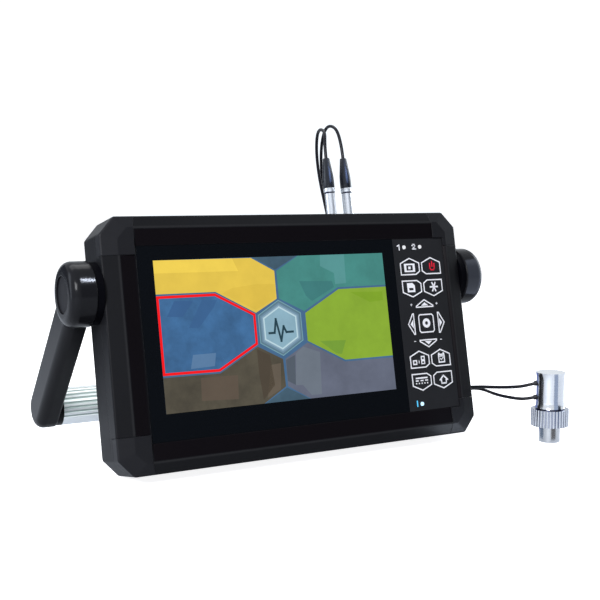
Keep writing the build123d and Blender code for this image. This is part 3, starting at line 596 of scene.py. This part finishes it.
class OBJECT_OT_finish_case(bpy.types.Operator):
    """Finishes the front frame, corner covers, rear housing, hatch, feet and screws"""

    bl_idname = "object.finish_case"
    bl_label = "Case"

    def execute(self, context):
        look = context.scene.case_look
        body = moulded("case_moulding", look.body_colour, 0.42, look.grain, shine=0.08, edge=look.edge)
        paint(body, "rear_housing", "battery_hatch")
        paint(front_moulding(look), "front_frame")
        rubber = {"grain": 0.00004, "scale": 1100.0, "shine": 0.1, "edge": look.edge}
        covers = moulded("corner_rubber", look.cover_colour, 0.44, **rubber)
        paint(covers, *[name for name in NODES if name.startswith("corner_cover")])
        paint(moulded("soft_rubber", (0.02, 0.02, 0.02), 0.7, grain=0.00004), "rubber_feet", "front_gasket")
        steel = metal("zinc_steel", (0.62, 0.63, 0.65), 0.34, stretch=(900, 900, 900))
        paint(steel, "case_screws", "board_screws", "battery_hatch_screws", "pivot_screws")
        return {"FINISHED"}


# Screen


# The picture's middle across and up the front, its width and its height
PICTURE = (-14.85, 3.35, 154.1, 86.0)
# How far out of the front each layer of the picture lies
GROUND, TILE, SHAPE, LINE, TOP = (GLASS + proud for proud in (0.03, 0.06, 0.07, 0.09, 0.12))
BLUE = [(-91.9, 26.1), (-55.7, 26.1), (-31.1, 12.9), (-31.2, -5.0), (-57.0, -18.8), (-91.9, -18.5)]
# The tiles: a name, a colour, how cloudy it is and its outlines
TILES = [
    ("yellow", (0.95, 0.675, 0.085), 0.06, [[
        (-91.9, 46.35), (-30.6, 46.0), (-15.8, 37.8), (-16, 21.1), (-30.6, 13.5), (-55.3, 27.0),
        (-91.9, 27.2),
    ]]),
    ("blue", (0.055, 0.17, 0.37), 0.25, [BLUE]),
    ("brown", (0.1, 0.087, 0.058), 0.25, [[
        (-91.9, -19.6), (-57.0, -19.9), (-31.5, -6.3), (-15.6, -14.8), (-15.4, -31.0), (-30.5, -39.65),
        (-91.9, -39.65),
    ]]),
    ("teal", (0.07, 0.3, 0.27), 0.12, [[
        (62.2, 46.35), (1.0, 46.35), (-14.4, 37.8), (-14.4, 21.1), (2.0, 12.8), (27.0, 26.1), (62.2, 26.1),
    ]]),
    ("green", (0.3, 0.5, 0.035), 0.08, [[
        (2.5, 11.6), (27.4, 24.9), (62.2, 25.0), (62.2, -18.5), (27.4, -18.5), (2.3, -5.2),
    ]]),
    ("grey", (0.15, 0.17, 0.235), 0.12, [[
        (62.2, -19.6), (27.0, -19.6), (2.0, -6.2), (-14.0, -14.8), (-14.0, -31.0), (0.6, -39.65),
        (62.2, -39.65),
    ]]),
    ("slate", (0.062, 0.125, 0.18), 0.2, [
        [(-29.8, 46.35), (-15.1, 38.5), (0.2, 46.35)], [(-29.8, -39.65), (-14.7, -31.7), (-0.2, -39.65)],
    ]),
]
# Lighter and darker shapes within the tiles: a name, a colour and its corners
SHAPES = [
    ("yellow_light", (1.08, 0.78, 0.1), [(-91.9, 46.35), (-42.8, 46.1), (-39.6, 38.6), (-91.9, 39.0)]),
    ("yellow_dark", (0.9, 0.63, 0.075), [
        (-44.5, 28.8), (-28.1, 30.4), (-16.1, 29.9), (-17.0, 21.6), (-30.4, 15.2), (-51.1, 25.9),
    ]),
    ("blue_bar_1", (0.046, 0.14, 0.33), [(-81.3, 23.0), (-69.8, 22.5), (-76.8, 13.7), (-86.4, 14.3)]),
    ("blue_bar_2", (0.047, 0.145, 0.335), [
        (-64.2, 22.8), (-54.8, 22.3), (-57.1, 18.4), (-67.6, 6.9), (-73.7, 7.3),
    ]),
    ("blue_pale", (0.12, 0.245, 0.44), [(-72.8, -8.1), (-58.5, -8.0), (-59.9, -15.4), (-74.8, -15.9)]),
    ("teal_pale", (0.11, 0.36, 0.35), [
        (16.7, 46.3), (33.9, 46.3), (33.3, 28.4), (25.4, 28.1), (25.4, 34.9), (16.0, 39.6),
    ]),
    ("teal_dark", (0.055, 0.24, 0.235), [(0.4, 31.0), (23.4, 30.1), (24.4, 26.3), (8.0, 18.5), (4.2, 21.8)]),
    ("green_dark", (0.26, 0.46, 0.02), [(35.6, 22.7), (59.2, 22.0), (59.3, 16.6), (49.4, 15.8)]),
    ("green_spot", (0.22, 0.42, 0.04), [(10.7, -5.9), (29.1, -6.6), (25.3, -14.9), (21.1, -14.0)]),
    ("brown_rosy", (0.13, 0.098, 0.068), [(-69.2, -21.4), (-46.0, -21.7), (-46.8, -35.5), (-69.9, -34.4)]),
    ("brown_dark", (0.085, 0.066, 0.042), [
        (-32.2, -7.7), (-24.0, -11.8), (-22.6, -29.5), (-30.8, -37.6), (-32.3, -21.7),
    ]),
    ("brown_pale", (0.15, 0.12, 0.085), [(-24.0, -17.7), (-17.3, -17.0), (-18.9, -32.2), (-28.1, -36.7)]),
    ("grey_light", (0.18, 0.215, 0.265), [
        (-6.5, -11.9), (-1.2, -8.5), (10.0, -12.5), (8.4, -37.7), (1.5, -37.7), (-3.9, -31.2), (-8.7, -30.8),
    ]),
    ("grey_dark", (0.1, 0.125, 0.16), [(-13.7, -15.5), (-7.3, -13.0), (-8.7, -30.8), (-13.8, -27.9)]),
]
# The badge: its middle, its plain field's radius, its rims from the outermost, each with its radius,
# width and colour, and the pulse line on it
BADGE_MIDDLE = (-15.1, 3.7)
BADGE_RADIUS = 11.9
RIMS = [
    (16.7, 0.55, (0.23, 0.45, 0.51)),
    (16.15, 1.15, (0.13, 0.24, 0.32)),
    (15.0, 1.1, (0.19, 0.33, 0.45)),
    (13.9, 1.0, (0.29, 0.45, 0.58)),
    (12.9, 1.0, (0.62, 0.84, 0.92)),
]
PULSE = [(-23, 1), (-19.5, 1), (-18, 9), (-15.5, -4), (-13.2, 4.5), (-11.6, 1), (-7.2, 1)]
PULSE_WIDTH = 1.3


def hexagon(radius):
    across, up = BADGE_MIDDLE
    return [(across + radius * sin(pi / 3 * i), up + radius * cos(pi / 3 * i)) for i in range(6)]


def window_gloss():
    """The window's glass, with a faint trace of wiping."""
    glass, tree, shader = blank("window_gloss")
    wipe = noise(tree, own_place(tree), scale=22.0, detail=3.0)
    tree.links.new(carried(tree, wipe, 0.05, 0.11), shader.inputs["Roughness"])
    preset(shader, Base_Color=(0.0022, 0.0026, 0.0036, 1))
    return glass


class OBJECT_OT_draw_screen(bpy.types.Operator):
    """Makes the window glossy and draws the lit picture just over it"""

    bl_idname = "object.draw_screen"
    bl_label = "Screen"

    def execute(self, context):
        look = context.scene.screen_look
        paint(window_gloss(), "display_window")
        paint(lit("display_panel", (0.1, 0.16, 0.3), 0.1, 0.2), "lcd_panel")
        bm = bmesh.new()
        inks = []

        def ink(name, colour, cloudy=0.0, share=1.0):
            inks.append(lit(name, colour, look.glow * share, cloudy))
            return len(inks) - 1

        box(bm, GROUND, ink("field_ground", (0.07, 0.17, 0.325), 0.12), *PICTURE)
        for name, colour, cloudy, outlines in TILES:
            tile = ink(f"field_{name}", colour, cloudy)
            for corners in outlines:
                area(bm, TILE, tile, corners)
        ring(bm, LINE, ink("field_red", (1.18, 0.001, 0.001)), look.line, BLUE)
        for name, colour, corners in SHAPES:
            area(bm, SHAPE, ink(f"shape_{name}", colour, 0.06), corners)
        for number, (radius, width, colour) in enumerate(RIMS, 1):
            ring(bm, LINE, ink(f"badge_rim_{number}", colour), width * cos(pi / 6), hexagon(radius))
        area(bm, LINE, ink("field_badge", (0.31, 0.52, 0.64), 0.1), hexagon(BADGE_RADIUS))
        stroke(bm, TOP, ink("field_ink", (0.03, 0.1, 0.14), share=0.6), PULSE_WIDTH, PULSE)
        add_piece("screen_picture", bm, inks, "case")
        return {"FINISHED"}


# Keypad


# The outline of a house-shaped key, from the pad's middle outwards and from its foot to its tip
HOUSE = [(15.8, 0), (15.8, 7.9), (8.25, 11.2), (0.7, 7.9), (0.7, 2.1), (3.9, 0)]
# The outlines of an upward arrow key and of the head printed on it, from the middle of its foot, and
# how far the foot of a level and of an upright arrow lies from the pad's middle
ARROW = [(-6.9, 0), (-6.9, 1.35), (0, 5.4), (6.9, 1.35), (6.9, 0)]
ARROW_HEAD = [(-2.9, 1.15), (2.9, 1.15), (0, 3.35)]
LEVEL_FOOT, UPRIGHT_FOOT = 9.05, 10.2
# The lower half of the enter key's outline, from the pad's middle
ENTER = [(-6.05, -4.8), (-4.8, -6.05), (4.8, -6.05), (6.05, -4.8)]


def house(foot, tip, side):
    """A house-shaped key on one side of the pad, its tip up or down from its foot."""
    return [(PAD_ACROSS + side * x, foot + tip * y) for x, y in HOUSE]


def pointing(turn, points):
    """An arrow's points turned about the pad's middle."""
    foot = LEVEL_FOOT if turn % 180 else UPRIGHT_FOOT
    spin = Matrix.Rotation(radians(turn), 2)
    return [tuple(spin @ Vector((x, foot + y)) + Vector((PAD_ACROSS, 0))) for x, y in points]


ARROWS = {"up": 0, "left": 90, "down": 180, "right": 270}
KEYS = {
    "key_range": house(31.4, 1, -1),
    "key_power": house(31.4, 1, 1),
    "key_save": house(28.15, -1, -1),
    "key_freeze": house(28.15, -1, 1),
    **{f"key_{way}": pointing(turn, ARROW) for way, turn in ARROWS.items()},
    "key_gate": house(-28.15, 1, -1),
    "key_results": house(-28.15, 1, 1),
    "key_list": house(-31.4, -1, -1),
    "key_home": house(-31.4, -1, 1),
    "key_enter": [(PAD_ACROSS + x, y) for x, y in ENTER + [(-x, -y) for x, y in ENTER]],
}
CUP = [(97.9, 38.2), (97.8, 35.3), (98.6, 34.3), (100.5, 34.3), (101.2, 35.3), (101.3, 38.2)]
# What is printed on each key: the function that draws it, then its sizes and places
SYMBOLS = {
    "key_range": [(bars, 77.7, 86.0, 33.4, 38.8, 1.75, 1.0), (box, 81.75, 36.1, 1.9, 1.7)],
    "key_power": [
        (stroke, 0.85, CUP),
        (stroke, 0.8, [(99.6, 36.7), (99.6, 39.6)]),
    ],
    "key_save": [
        (area, [(78.5, 23.15), (84.5, 23.15), (84.5, 24.7), (82.7, 26.35), (78.5, 26.35)]),
        (box, 81.5, 21.05, 6.0, 1.25),
        (box, 79.2, 22.4, 1.4, 1.5),
        (box, 83.8, 22.4, 1.4, 1.5),
    ],
    "key_freeze": [
        (stroke, 1.05, [(99.3 - x, 23.2 - y), (99.3 + x, 23.2 + y)])
        for x, y in ((2.75, 0.0), (1.2, 2.55), (-1.2, 2.55))
    ],
    **{f"key_{way}": [(area, pointing(turn, ARROW_HEAD))] for way, turn in ARROWS.items()},
    "key_gate": [
        (bars, 76.8, 80.0, -25.9, -22.8, 0.8, 0.8),
        (box, 81.5, -24.2, 0.5, 1.9),
        (bars, 83.1, 86.1, -23.4, -20.5, 0.8, 0.8),
        (bars, 83.1, 86.1, -25.8, -23.4, 0.8, 0.65),
    ],
    "key_results": [
        (bars, 96.7, 101.9, -26.0, -20.2, 0.85, 0.9),
        (box, 99.3, -21.7, 3.2, 0.8),
        (box, 97.5, -19.85, 1.2, 0.7),
        (box, 101.1, -19.85, 1.2, 0.7),
        (stroke, 0.6, [(98.4, -23.3), (99.1, -24.1), (100.6, -22.6)]),
    ],
    "key_list": [
        (box, 82.1, -34.4, 9.2, 0.95),
        *[(box, across, -36.05, 2.3, 0.85) for across in (78.5, 82.2, 85.7)],
        *[(box, across, -37.75, 0.9, 0.85) for across in (77.8, 79.9, 82.1, 84.2, 86.3)],
    ],
    "key_home": [
        (stroke, 1.0, [(96.3, -36.9), (99.25, -34.2), (102.2, -36.9)]),
        (stroke, 0.95, [(97.4, -37.0), (97.4, -39.1), (101.1, -39.1), (101.1, -37.0)]),
    ],
    "key_enter": [(ring, 1.85, round_points(PAD_ACROSS, 0.15, 3.0))],
}
# The print on the label: the two numbers, the marks by the keys' corners and the bar by the power lamp
NUMBER_WIDTH = 0.75
ONE = [(74.4, 50.4), (75.7, 51.1), (75.7, 47.9)]
TWO = [(85.9, 50.4), (86.4, 51.1), (87.5, 51.1), (88.0, 50.3), (87.6, 49.5), (85.9, 48.2), (88.3, 48.2)]
PLUS_MARKS = [(80.45, 12.4), (100.3, 12.4)]
MINUS_MARKS = [(80.4, -11.0), (100.8, -10.9)]
MARK_HALF, MARK_WIDTH = 0.55, 0.45
POWER_BAR = (77.15, -50.3, 0.9, 3.9)


def print_label(bm):
    """Prints the label's numbers and marks white and its bar in the second ink."""
    out = GLASS + 0.03
    for number in (ONE, TWO):
        stroke(bm, out, 0, NUMBER_WIDTH, number)
    for across, up in PLUS_MARKS:
        stroke(bm, out, 0, MARK_WIDTH, [(across - MARK_HALF, up), (across + MARK_HALF, up)])
        stroke(bm, out, 0, MARK_WIDTH, [(across, up - MARK_HALF), (across, up + MARK_HALF)])
    for across, up in MINUS_MARKS:
        stroke(bm, out, 0, MARK_WIDTH, [(across - MARK_HALF, up), (across + MARK_HALF, up)])
    box(bm, out, 1, *POWER_BAR)


class OBJECT_OT_print_keypad(bpy.types.Operator):
    """Finishes the keypad label, keys and lamps and prints outlines and symbols"""

    bl_idname = "object.print_keypad"
    bl_label = "Keypad"

    def execute(self, context):
        look = context.scene.keypad_look
        paint(moulded("label_film", look.label_colour, 0.42, grain=0.00001, scale=2200.0), "keypad_label")
        rubber = moulded("key_rubber", look.label_colour, 0.45, grain=0.00002)
        white = moulded("key_print", look.print_colour, 0.45, grain=0.0)
        red = moulded("power_print", (0.9, 0.02, 0.05), 0.45, grain=0.0)
        out = KEY_TOP + 0.03
        for name, outline in KEYS.items():
            paint(rubber, name)
            bm = bmesh.new()
            ring(bm, out, 0, look.line, outline)
            for draw, *shape in SYMBOLS[name]:
                draw(bm, out, 1 if name == "key_power" else 0, *shape)
            add_piece(f"print_{name}", bm, [white, red], name)
        bm = bmesh.new()
        print_label(bm)
        bar_blue = lit("bar_blue", (0.1, 0.6, 1.0), 1.1)
        add_piece("label_print", bm, [white, bar_blue], "case")
        paint(lit("lamp_clear", (0.95, 0.96, 1.0), 0.9), "led_1", "led_2")
        paint(lit("lamp_blue", (0.5, 0.78, 1.0), 1.6), "power_led")
        return {"FINISHED"}


# Handle


# How far from the grip's axis the shade in its grooves ends, in metres, and the shade's colour
GROOVE_FADE = (0.0111, 0.0114)
GROOVE_COLOUR = (0.36, 0.44, 0.43)


class OBJECT_OT_finish_handle(bpy.types.Operator):
    """Finishes the arms, hubs, discs and the fluted grip"""

    bl_idname = "object.finish_handle"
    bl_label = "Handle"

    def execute(self, context):
        look = context.scene.handle_look
        arms = moulded("arm_moulding", look.arm_colour, 0.32, grain=0.00001, shine=0.08, edge=0.0004)
        away = from_axis(arms.node_tree, (0, 1, 1), (0, HUB[1], HUB[2]))
        polish_where(arms, work_out(arms.node_tree, "LESS_THAN", away, look.hub_reach))
        paint(arms, "handle_arm_left", "handle_arm_right")
        caps = moulded("cap_moulding", (0.008, 0.008, 0.01), 0.5)
        paint(caps, "hub_cap_left", "hub_cap_right")
        # The pivot discs are near-black: painted shade for the gap between each hub and the case
        discs = moulded("disc_painted_shade", (0.001, 0.001, 0.002), 0.6, shine=0.03)
        paint(discs, "pivot_disc_left", "pivot_disc_right")
        drawn = {"stretch": (30, 1800, 1800), "spread": 0.12}
        grip = metal("grip_aluminium", look.grip_colour, 0.5, metallic=0.7, **drawn)
        depth = from_axis(grip.node_tree, (0, 1, 1), (0, GRIP[1], GRIP[2]))
        shade_where(grip, falling(grip.node_tree, depth, *GROOVE_FADE), GROOVE_COLOUR)
        paint(grip, "handle_grip")
        return {"FINISHED"}


# Sockets and plugs


# A collar from its foot to its top: its radius and the height from the plug's top
COLLAR = [(3.0, -2.75), (3.5, -2.7), (3.6, -2.4), (3.6, -0.3), (3.5, 0.0), (3.0, 0.0)]
# The groove below the collar, darkened by painted shade: how far up the front it lies, and half the painted
# shade's width where it fades
SEAM_UP = (PLUG_TOP - 3.0) * MM
PLUG_GROOVE_SHADE_FADE = (0.0004, 0.0005)
PLUG_GROOVE_SHADE = (0.02, 0.02, 0.05)


class OBJECT_OT_finish_sockets(bpy.types.Operator):
    """Finishes the probe sockets and plugs and adds a collar to each plug"""

    bl_idname = "object.finish_sockets"
    bl_label = "Sockets and plugs"

    def execute(self, context):
        turned = {"stretch": (60, 60, 2600), "turn": (-LEAN, 0, 0)}
        plug = metal("plug_steel", (0.76, 0.78, 0.82), 0.4, spread=0.1, **turned)
        tree = plug.node_tree
        off = work_out(tree, "ABSOLUTE", work_out(tree, "SUBTRACT", front_place(tree)[1], SEAM_UP))
        # Painted shade in the groove below the collar
        shade_where(plug, falling(tree, off, *PLUG_GROOVE_SHADE_FADE), PLUG_GROOVE_SHADE)
        paint(plug, "plug_1", "plug_2")
        nickel = metal("socket_nickel", (0.66, 0.65, 0.6), 0.25, stretch=(900, 900, 900))
        paint(nickel, "probe_socket_1", "probe_socket_2", "socket_nuts")
        for number, across in SOCKETS.items():
            spun(f"plug_collar_{number}", across, COLLAR, plug)
        return {"FINISHED"}


# Transducer


# The painted shade in the seam above the knurled ring, by its height, and the painted shade between the knurls, by
# how far it lies from the transducer's axis, in metres
NECK_SHADE_FADE = ((RING_TOP + 0.6) * MM, (RING_TOP + 0.7) * MM)
NECK_SHADE_COLOUR = (0.05, 0.06, 0.13)
KNURL_FADE = (0.0117, 0.0119)
KNURL_COLOUR = (0.38, 0.4, 0.47)
# How far the lines of turned metal are pressed together along X, Y and Z
TURNED = (40, 40, 3000)


class OBJECT_OT_finish_probe(bpy.types.Operator):
    """Finishes the plated transducer"""

    bl_idname = "object.finish_probe"
    bl_label = "Transducer"

    def execute(self, context):
        colour = context.scene.probe_look.metal_colour
        plated = {"stretch": TURNED, "depth": 0.000004, "spread": 0.08}
        chrome = metal("probe_chrome", colour, 0.14, **plated)
        tree = chrome.node_tree
        height = node(tree, "ShaderNodeSeparateXYZ", Vector=own_place(tree)).outputs[2]
        # Painted shade in the seam just above the knurled ring
        shade_where(chrome, falling(tree, height, *NECK_SHADE_FADE), NECK_SHADE_COLOUR)
        paint(chrome, "transducer_body")
        knurl = metal("probe_knurl", colour, 0.2, **plated)
        depth = from_axis(knurl.node_tree, (1, 1, 0), at(*PROBE, 0))
        shade_where(knurl, falling(knurl.node_tree, depth, *KNURL_FADE), KNURL_COLOUR)
        paint(knurl, "transducer_ring")
        paint(metal("probe_tip", (0.6, 0.61, 0.63), 0.25, stretch=TURNED), "transducer_tip")
        return {"FINISHED"}


# Inner parts


class OBJECT_OT_finish_inside(bpy.types.Operator):
    """Finishes the boards and the battery inside the case"""

    bl_idname = "object.finish_inside"
    bl_label = "Inside"

    def execute(self, context):
        paint(moulded("board_resist", (0.02, 0.16, 0.06), 0.35, grain=0.00002), "main_board", "keypad_board")
        paint(moulded("battery_sleeve", (0.03, 0.08, 0.3), 0.3, grain=0.00001), "battery_pack")
        return {"FINISHED"}


# Stage


def aimed(origin, side, height, reach):
    """A place seen from an origin at a compass angle from the back, a height angle and a distance."""
    turn, rise = radians(side), radians(height)
    return Vector(origin) + Vector((sin(turn) * cos(rise), cos(turn) * cos(rise), sin(rise))) * reach


CAMERA_PLACE = (-0.312, -0.59148, 0.16077)
CAMERA_DIP = radians(5.785)
CAMERA_TURN = radians(29.512)
SENSOR_WIDTH = 36.0
FLOOR_SIDE = 12.0
# The floor's colour to bounced light, and its colour and its glow's colour and strength in a mirror
BOUNCED_FLOOR = (0.25, 0.25, 0.26, 1)
MIRRORED_FLOOR = (0.66, 0.69, 0.74, 1)
MIRRORED_TONE = (0.8, 0.88, 1.0, 1)
MIRRORED_GLOW = 0.25
# The room's colour, and its strength in a mirror and to the camera
ROOM_COLOUR = (0.9, 0.95, 1.0, 1)
ROOM_MIRRORED, ROOM_SEEN = 0.95, 1.2

# The lamps: a name, a place, an aim, a width and height, a share of the key light and a colour
LAMPS = [
    ("top_lamp", (0.0, 0.45, 1.1), (0, 0, 0.1), 1.2, 0.5, 0.6, (1.0, 1.0, 1.0)),
    ("left_lamp", (-1.0, 0.35, 0.35), (-0.1, 0, 0.1), 0.35, 0.8, 0.4, (0.78, 0.87, 1.0)),
    ("right_lamp", (1.0, 0.1, 0.4), (0.1, 0, 0.1), 0.4, 0.9, 0.6, (0.85, 0.92, 1.0)),
    ("front_lamp", (-0.95, -0.85, 0.75), (0, 0, 0.08), 0.5, 0.5, 2.6, (0.95, 0.97, 1.0)),
]
BOOTS = ["boot_1", "boot_2"]
PLUGS = ["plug_1", "plug_2", "plug_collar_1", "plug_collar_2"]

# Places that the small lamps and the cards face, and where the lamp below the corner stands
LEFT_HUB = Vector((-0.13, -0.039, 0.114))
RIGHT_HUB = Vector((0.13, -0.035, 0.105))
CORNER_LAMP = Vector((0.12, -0.08, 0.0015))
PLUGS_SEEN, BOOTS_SEEN = (on_front(47.3, up, -SOCKET_BEHIND) for up in (84, 101))
GRIP_END = Vector((-0.109, GRIP[1] - 0.011, GRIP[2] + 0.005))
CASE_MIDDLE = (0, 0, 0.1)
TOP_WALL = Vector((0, -0.03, 0.14))
PROBE_TIP, PROBE_WAIST, PROBE_BODY = (at(*PROBE, height) for height in (5, 24, 30))

# The small lamps: a name, a place, an aim, a width and height, a colour, a strength and the pieces that
# mirror it
GLINTS = [
    (
        "left_hub_glint", aimed(LEFT_HUB, 151, 50, 0.12), LEFT_HUB,
        0.006, 0.024, (0.78, 0.85, 1.0), 380.0, ["handle_arm_left"],
    ),
    (
        "right_hub_glint", aimed(RIGHT_HUB, 138, 0, 0.03), RIGHT_HUB,
        0.045, 0.1, (0.66, 0.76, 1.0), 5.0, ["handle_arm_right"],
    ),
    ("plug_glint", aimed(PLUGS_SEEN, 190, 0, 0.1), PLUGS_SEEN, 0.16, 0.1, (0.85, 0.9, 1.0), 0.6, PLUGS),
    (
        "corner_glint", CORNER_LAMP, CORNER_LAMP + Vector((0, 0, 0.1)),
        0.036, 0.024, (0.78, 0.87, 1.0), 13.0, ["front_frame", "corner_cover_lower_right"],
    ),
    ("boot_glint", aimed(BOOTS_SEEN, 165, 32, 0.07), BOOTS_SEEN, 0.034, 0.03, (0.34, 0.5, 1.0), 15.0, BOOTS),
    (
        "grip_glint", aimed(GRIP_END, 160, 42, 0.022), GRIP_END,
        0.03, 0.018, (0.94, 1.0, 1.0), 3.2, ["handle_grip"],
    ),
]
# The studio cards: a name, a place, an aim, a width and height, a colour and a strength
NIGHT = (0.04, 0.055, 0.075)
CARDS = [
    ("flag_right", (0.5, -0.95, 0.4), CASE_MIDDLE, 1.1, 0.9, NIGHT, 1.0),
    ("flag_left", (-0.7, 1.1, 0.3), CASE_MIDDLE, 0.9, 0.8, NIGHT, 1.0),
    ("top_card", aimed(TOP_WALL, 130, 46, 1.0), TOP_WALL, 0.5, 0.25, (0.9, 0.95, 1.0), 2.2),
    ("body_card", aimed(PROBE_BODY, 176, 0, 0.06), PROBE_BODY, 0.036, 0.06, (0.36, 0.44, 0.6), 1.0),
    ("edge_card", aimed(PROBE_WAIST, -8, 0, 0.035), PROBE_WAIST, 0.03, 0.05, (0.2, 0.25, 0.5), 1.0),
    ("tip_card_1", aimed(PROBE_TIP, -62, 0, 0.0145), PROBE_TIP, 0.0115, 0.0095, (0.2, 0.26, 0.36), 1.0),
    ("tip_card_2", aimed(PROBE_TIP, 186, 0, 0.0145), PROBE_TIP, 0.0115, 0.0095, (0.18, 0.18, 0.19), 1.0),
]


def turned_to(place, aim, axis):
    """The turn that points an object's axis from its place to its aim."""
    return (Vector(aim) - Vector(place)).to_track_quat(axis, "Y").to_euler()


def add_lamp(name, place, aim, wide, high, power, colour):
    lamp = bpy.data.lights.new(name, "AREA")
    lamp.shape = "RECTANGLE"
    lamp.size = wide
    lamp.size_y = high
    lamp.energy = power
    lamp.color = colour
    made = add_object(name, lamp)
    made.location = place
    made.rotation_euler = turned_to(place, aim, "-Z")
    return made


def light_only(lamp, names, state="INCLUDE"):
    """Keeps a lamp for the named pieces, or keeps it off them."""
    pieces = bpy.data.collections.new(lamp.name)
    for name in names:
        pieces.objects.link(bpy.data.objects[name])
    for member in pieces.collection_objects:
        member.light_linking.link_state = state
    lamp.light_linking.receiver_collection = pieces


def add_glint(name, place, aim, wide, high, colour, strength, names):
    """A small lamp that only the named pieces mirror."""
    made = add_lamp(name, place, aim, wide, high, strength * pi * wide * high, colour)
    made.visible_camera = False
    made.visible_diffuse = False
    light_only(made, names)


def add_sheet(name, wide, high, material):
    """A flat piece of the stage."""
    bm = bmesh.new()
    bmesh.ops.create_grid(bm, x_segments=1, y_segments=1, size=0.5)
    bmesh.ops.scale(bm, vec=(wide, high, 1), verts=bm.verts)
    sheet = add_mesh(name, bm, material)
    return sheet


def add_card(name, place, aim, wide, high, colour, strength):
    """A studio card that is seen only in what glossy surfaces mirror."""
    paper, _, shader = blank(name)
    preset(shader, Base_Color=(0, 0, 0, 1), Specular_IOR_Level=0.0)
    preset(shader, Emission_Color=rgba(colour), Emission_Strength=strength)
    card = add_sheet(name, wide, high, paper)
    card.location = place
    card.rotation_euler = turned_to(place, aim, "Z")
    card.visible_camera = False
    card.visible_diffuse = False
    card.visible_shadow = False


def set_camera(scene, lens):
    data = bpy.data.cameras.new("camera")
    data.lens = lens
    data.sensor_width = SENSOR_WIDTH
    camera = add_object("camera", data)
    camera.location = CAMERA_PLACE
    camera.rotation_euler = Euler((pi / 2 - CAMERA_DIP, 0, -CAMERA_TURN))
    scene.camera = camera


def floor_paint(look):
    """A pale floor that lights itself, but looks darker to bounced light and duller in a mirror."""
    made, tree, shader = blank("floor_paint")
    paths = node(tree, "ShaderNodeLightPath").outputs
    bounced, mirrored = paths["Is Diffuse Ray"], paths["Is Glossy Ray"]
    plain = rgba(look.floor_colour)
    base = either(tree, bounced, either(tree, mirrored, plain, MIRRORED_FLOOR), BOUNCED_FLOOR)
    tone = either(tree, mirrored, plain, MIRRORED_TONE)
    glow = either(tree, mirrored, look.floor_glow, MIRRORED_GLOW, "FLOAT")
    glow = either(tree, bounced, glow, 0.0, "FLOAT")
    for name, value in {"Base Color": base, "Emission Color": tone, "Emission Strength": glow}.items():
        tree.links.new(value, shader.inputs[name])
    preset(shader, Roughness=0.6, Specular_IOR_Level=0.1)
    return made


def soft_room(soft_light):
    """A world that lights evenly and softly, and is brighter in a mirror and to the camera."""
    world = bpy.data.worlds.new("soft_room")
    world.use_nodes = True
    tree = world.node_tree
    paths = node(tree, "ShaderNodeLightPath").outputs
    strength = carried(tree, paths["Is Glossy Ray"], soft_light, ROOM_MIRRORED)
    strength = either(tree, paths["Is Camera Ray"], strength, ROOM_SEEN, "FLOAT")
    shader = tree.nodes["Background"]
    preset(shader, Color=ROOM_COLOUR)
    tree.links.new(strength, shader.inputs["Strength"])
    return world


class OBJECT_OT_set_stage(bpy.types.Operator):
    """Makes the floor, the room, the lamps, the cards and the camera"""

    bl_idname = "object.set_stage"
    bl_label = "Stage"

    def execute(self, context):
        scene = context.scene
        look = scene.stage_look
        set_camera(scene, look.lens)
        add_sheet("floor", FLOOR_SIDE, FLOOR_SIDE, floor_paint(look))
        scene.world = soft_room(look.soft_light)
        scene.view_settings.view_transform = "Standard"
        for name, place, aim, wide, high, share, colour in LAMPS:
            lamp = add_lamp(name, place, aim, wide, high, look.key_light * share, colour)
            if name == "front_lamp":
                light_only(lamp, BOOTS + PLUGS, "EXCLUDE")
        for glint in GLINTS:
            add_glint(*glint)
        for card in CARDS:
            add_card(*card)
        return {"FINISHED"}


# Panel and registration


STEPS = [
    OBJECT_OT_fit_leads,
    OBJECT_OT_finish_case,
    OBJECT_OT_draw_screen,
    OBJECT_OT_print_keypad,
    OBJECT_OT_finish_handle,
    OBJECT_OT_finish_sockets,
    OBJECT_OT_finish_probe,
    OBJECT_OT_finish_inside,
    OBJECT_OT_set_stage,
]
LOOKS = {
    "case_look": CaseLook,
    "screen_look": ScreenLook,
    "keypad_look": KeypadLook,
    "handle_look": HandleLook,
    "lead_look": LeadLook,
    "probe_look": ProbeLook,
    "stage_look": StageLook,
}


class VIEW3D_PT_flaw_detector(bpy.types.Panel):
    """Lists the pieces and the sizes and colours that may be changed"""

    bl_label = "Flaw Detector"
    bl_space_type = "VIEW_3D"
    bl_region_type = "UI"
    bl_category = "Flaw Detector"

    def draw(self, context):
        for step in STEPS:
            self.layout.operator(step.bl_idname)
        for name, look in LOOKS.items():
            rows = self.layout.box()
            for field in look.__annotations__:
                rows.prop(getattr(context.scene, name), field)


CLASSES = [*LOOKS.values(), *STEPS, VIEW3D_PT_flaw_detector]


def register():
    for made in CLASSES:
        bpy.utils.register_class(made)
    for name, look in LOOKS.items():
        setattr(bpy.types.Scene, name, PointerProperty(type=look))


def unregister():
    for name in LOOKS:
        delattr(bpy.types.Scene, name)
    for made in reversed(CLASSES):
        bpy.utils.unregister_class(made)


def main():
    register()
    for step in STEPS:
        getattr(bpy.ops.object, step.bl_idname.removeprefix("object."))()


if __name__ == "__main__":
    main()
